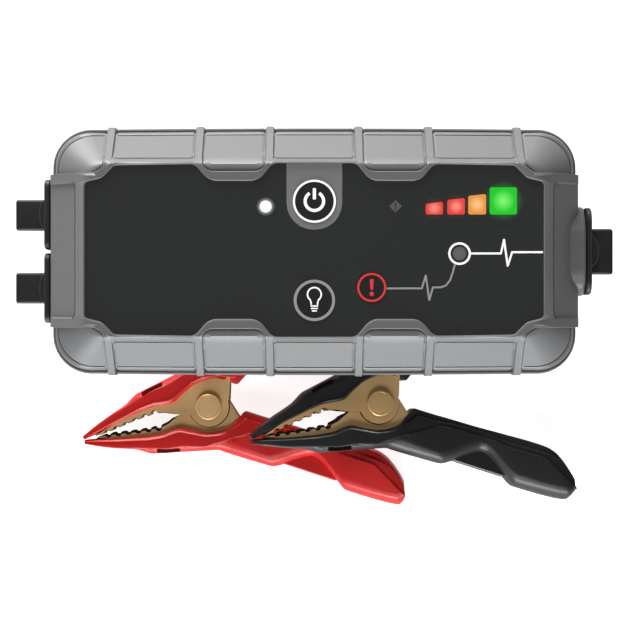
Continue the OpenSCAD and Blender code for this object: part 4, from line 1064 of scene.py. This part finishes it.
def clamp_frame(name):
    """A clamp's rivet and its own axes, from its joint and from the way its jaws point."""
    joint = next(j for j in frame["joints"] if j["name"] == name + "_squeeze")
    mount = next(m for m in frame["record"]["mounts"] if m["name"] == name + "_jaws")
    z = -np.array(joint["axis"])
    x = -np.array(mount["axis"])
    x = unit(x - z * (x @ z))
    return np.array(joint["pos_m"]) / MM, np.array([x, np.cross(z, x), z])


def body_of(node):
    """The body that a node rides on."""
    return next(body for body, nodes in frame["record"]["behaviour"]["bodies"].items() if node in nodes)


class JUMPPACK_OT_clamps(bpy.types.Operator):
    """Moulded grips of both clamps with sleeves and rims, painted shade for the ridge slot and under the jaws'
    teeth, and their turned rivets
    """
    bl_idname = "jumppack.clamps"
    bl_label = "Clamps"

    def execute(self, context):
        p, look = context.scene.jumppack_clamp, context.scene.jumppack_finish
        looks = {"grain": 0.35, "grain_mm": 0.45}
        grips = {
            "red": material("moulded_red", tuple(look.clamp_red), 0.38, mottle=0.08, specular=0.32, **looks),
            "black": material("moulded_black", tuple(look.clamp_black), 0.42, mottle=0.1, specular=0.42, **looks),
        }
        # Painted shade: darker red and black patches that poke out of each grip's ridge stand for the shade in its
        # slot.
        slot_shade_finish = {
            "red": material("ridge_slot_shade_red", (0.13, 0.004, 0.003), 0.6, specular=0.1),
            "black": material("ridge_slot_shade_black", (0.004, 0.004, 0.004), 0.6, specular=0.1),
        }
        brass = brushed("rivet_plate", tuple(look.jaw), (1, 1, 1), 0.4, 0.3)
        steel = brushed("spring_wire", (0.42, 0.42, 0.43), (1, 1, 0.3), 0.28)
        # Dark finish of the painted shade under the teeth and round the rivet.
        dark = material("jaw_painted_shade", (0.012, 0.01, 0.009), 0.6, grain=0.2, grain_mm=0.3, specular=0.2)
        web = rounded_outline([(15.5, 18, 1), (18.6, 24.4, 0.6), (33.6, 34.2, 0.6), (36, 30, 1), (27, 19, 1)], 4)
        form = [grip_form(p), plate(web, -2.6, 2.6, 0.4)]
        slot = rounded_outline([
            (-20.2, 9.0, 0.5), (-12.6, 10.5, 0.5), (-12.8, 11.7, 0.4), (-17.5, 10.9, 0.6), (-20.0, 10.2, 0.4)], 4)
        slot_shade = [plate(slot, 3.2, 5.05, 0.1)]
        coil, leg = spring_wires()
        head = [
            (0.3, 6.08), (2.2, 6.08), (3.15, 6.06), (3.27, 5.92), (3.42, 5.92), (3.54, 6.06), (3.9, 6.02),
            (4.1, 5.8), (4.1, 5.1), (2.0, 5.05),
        ]
        rivet = turned(head + [(r, -h) for r, h in head[::-1]], n=56)
        for name in ("red", "black"):
            at, axes = clamp_frame(name)

            def placed(flip=1.0, at=at, axes=axes):
                """What carries points from the clamp's own axes, with y turned over for the lower half."""
                return lambda q: at + (q * np.array([1, flip, 1])) @ axes

            for side, flip in (("upper", 1.0), ("lower", -1.0)):
                node, moved, face = f"{name}_{side}_grip", placed(flip), JAW_FACE[side]
                owner = body_of(node)
                add_piece(f"{node}_form", form, grips[name], owner, [node], sharp=30, move=moved)
                add_piece(f"{node}_slots", slot_shade, slot_shade_finish[name], owner, move=moved)
                # Painted shade: a dark sheet just under the jaw's plates on both faces, showing past the teeth
                # into the mouth.
                shade_outline = painted_tooth_shade(TOOTH_SHADE_REACH[side])
                parts = [plate(shade_outline, face - 0.85, face - 0.3), plate(shade_outline, 0.3 - face, 0.85 - face)]
                if side == "upper":
                    # Painted shadow round the upper plate's disc, on both faces.
                    parts += [rivet_shadow_ring(z) for z in (2.945, -2.945)]
                add_piece(f"{name}_{side}_jaw_painted_shade", parts, dark, owner, move=moved)
            node = f"{name}_spring"
            add_piece(f"{node}_form", [coil], steel, body_of(node), [node], move=placed())
            add_piece(f"{node}_leg", [leg], steel, f"{name}_arm", move=placed())
            node = f"{name}_rivet"
            add_piece(f"{node}_form", [rivet], brass, body_of(node), [node], sharp=25, move=placed())
        return {"FINISHED"}


# ---- Stage ----

class JUMPPACK_OT_stage(bpy.types.Operator):
    """White table, backdrop, four soft lights and the camera that looks straight down"""
    bl_idname = "jumppack.stage"
    bl_label = "Stage"

    def execute(self, context):
        scene = context.scene
        mesh = bpy.data.meshes.new("table")
        s, under = 6.0, -0.0002
        mesh.from_pydata([(-s, -s, under), (s, -s, under), (s, s, under), (-s, s, under)], [], [(0, 1, 2, 3)])
        table = add_object("table", mesh)
        white = material("table_white", (0.8, 0.8, 0.8), 0.9, specular=0.0)
        nodes, links = white.node_tree.nodes, white.node_tree.links
        seen, cast = nodes["Principled BSDF"], add_node(nodes, "BsdfPrincipled")
        for shader, glow in ((seen, 0.8), (cast, 0.2)):
            set_inputs(
                shader, Base_Color=(0.8, 0.8, 0.8, 1), Roughness=0.9, Specular_IOR_Level=0.0,
                Emission_Color=(1, 1, 1, 1), Emission_Strength=glow)
        rays, mix = add_node(nodes, "LightPath"), add_node(nodes, "MixShader")
        links.new(rays.outputs["Is Camera Ray"], mix.inputs[0])
        links.new(cast.outputs["BSDF"], mix.inputs[1])
        links.new(seen.outputs["BSDF"], mix.inputs[2])
        links.new(mix.outputs["Shader"], nodes["Material Output"].inputs["Surface"])
        mesh.materials.append(white)
        for name, at, size, power, colour in (
            ("light_back", (-0.44, 1.43, 0.24), (1.0, 0.34), 40.5, (1.0, 0.995, 0.985)),
            ("light_front", (-0.16, -1.45, 0.22), (1.0, 0.3), 25.5, (0.93, 0.97, 1.0)),
            ("light_top", (-0.1, 0.8, 1.3), (0.7, 0.6), 4.5, (1.0, 1.0, 1.0)),
            ("light_over", (-0.1, -0.95, 1.1), (0.6, 0.5), 8.0, (1.0, 1.0, 1.0)),
        ):
            data = bpy.data.lights.new(name, "AREA")
            data.shape = "RECTANGLE"
            data.size, data.size_y = size
            data.energy = power
            data.color = colour
            lamp = add_object(name, data)
            lamp.location = at
            lamp.rotation_euler = (Vector((0, 0.02, 0.03)) - Vector(at)).to_track_quat("-Z", "Y").to_euler()
        world = bpy.data.worlds.new("backdrop")
        world.use_nodes = True
        scene.world = world
        world.node_tree.nodes["Background"].inputs["Color"].default_value = (0.06, 0.06, 0.062, 1)
        scene.view_settings.view_transform = "Standard"
        view = bpy.data.cameras.new("camera")
        view.lens = 132.5
        view.sensor_width = 36.0
        view.clip_end = 20.0
        camera = add_object("camera", view)
        camera.location = (0.00019, 0.00162, 0.7645)
        scene.camera = camera
        return {"FINISHED"}


class JUMPPACK_PT_panel(bpy.types.Panel):
    """Sizes, colours and building steps"""
    bl_idname = "JUMPPACK_PT_panel"
    bl_label = "Jump Starter Pack"
    bl_space_type = "VIEW_3D"
    bl_region_type = "UI"
    bl_category = "Jump Pack"

    def draw(self, context):
        groups = (("jumppack_case", "Case"), ("jumppack_clamp", "Clamps"), ("jumppack_finish", "Finish"))
        for group, heading in groups:
            box = self.layout.box()
            box.label(text=heading)
            settings = getattr(context.scene, group)
            for name in settings.bl_rna.properties.keys():
                if name not in ("rna_type", "name"):
                    box.prop(settings, name)
        for step in STEPS:
            self.layout.operator(step.bl_idname)


STEPS = (
    JUMPPACK_OT_finishes, JUMPPACK_OT_shells, JUMPPACK_OT_covers, JUMPPACK_OT_face, JUMPPACK_OT_clamps,
    JUMPPACK_OT_stage,
)
GROUPS = {
    "jumppack_case": JUMPPACK_PG_case, "jumppack_clamp": JUMPPACK_PG_clamp, "jumppack_finish": JUMPPACK_PG_finish,
}


def register():
    """Registers the groups, steps and panel, and gives the scene its settings."""
    for cls in (*GROUPS.values(), *STEPS, JUMPPACK_PT_panel):
        bpy.utils.register_class(cls)
    for name, cls in GROUPS.items():
        setattr(bpy.types.Scene, name, bpy.props.PointerProperty(type=cls))


def unregister():
    """Takes back what register() did."""
    for name in GROUPS:
        delattr(bpy.types.Scene, name)
    for cls in (JUMPPACK_PT_panel, *STEPS[::-1], *list(GROUPS.values())[::-1]):
        bpy.utils.unregister_class(cls)


def main():
    """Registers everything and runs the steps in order."""
    register()
    for step in STEPS:
        area, name = step.bl_idname.split(".")
        if getattr(getattr(bpy.ops, area), name)() != {"FINISHED"}:
            raise RuntimeError(f"{step.bl_label} did not finish")


if __name__ == "__main__":
    main()
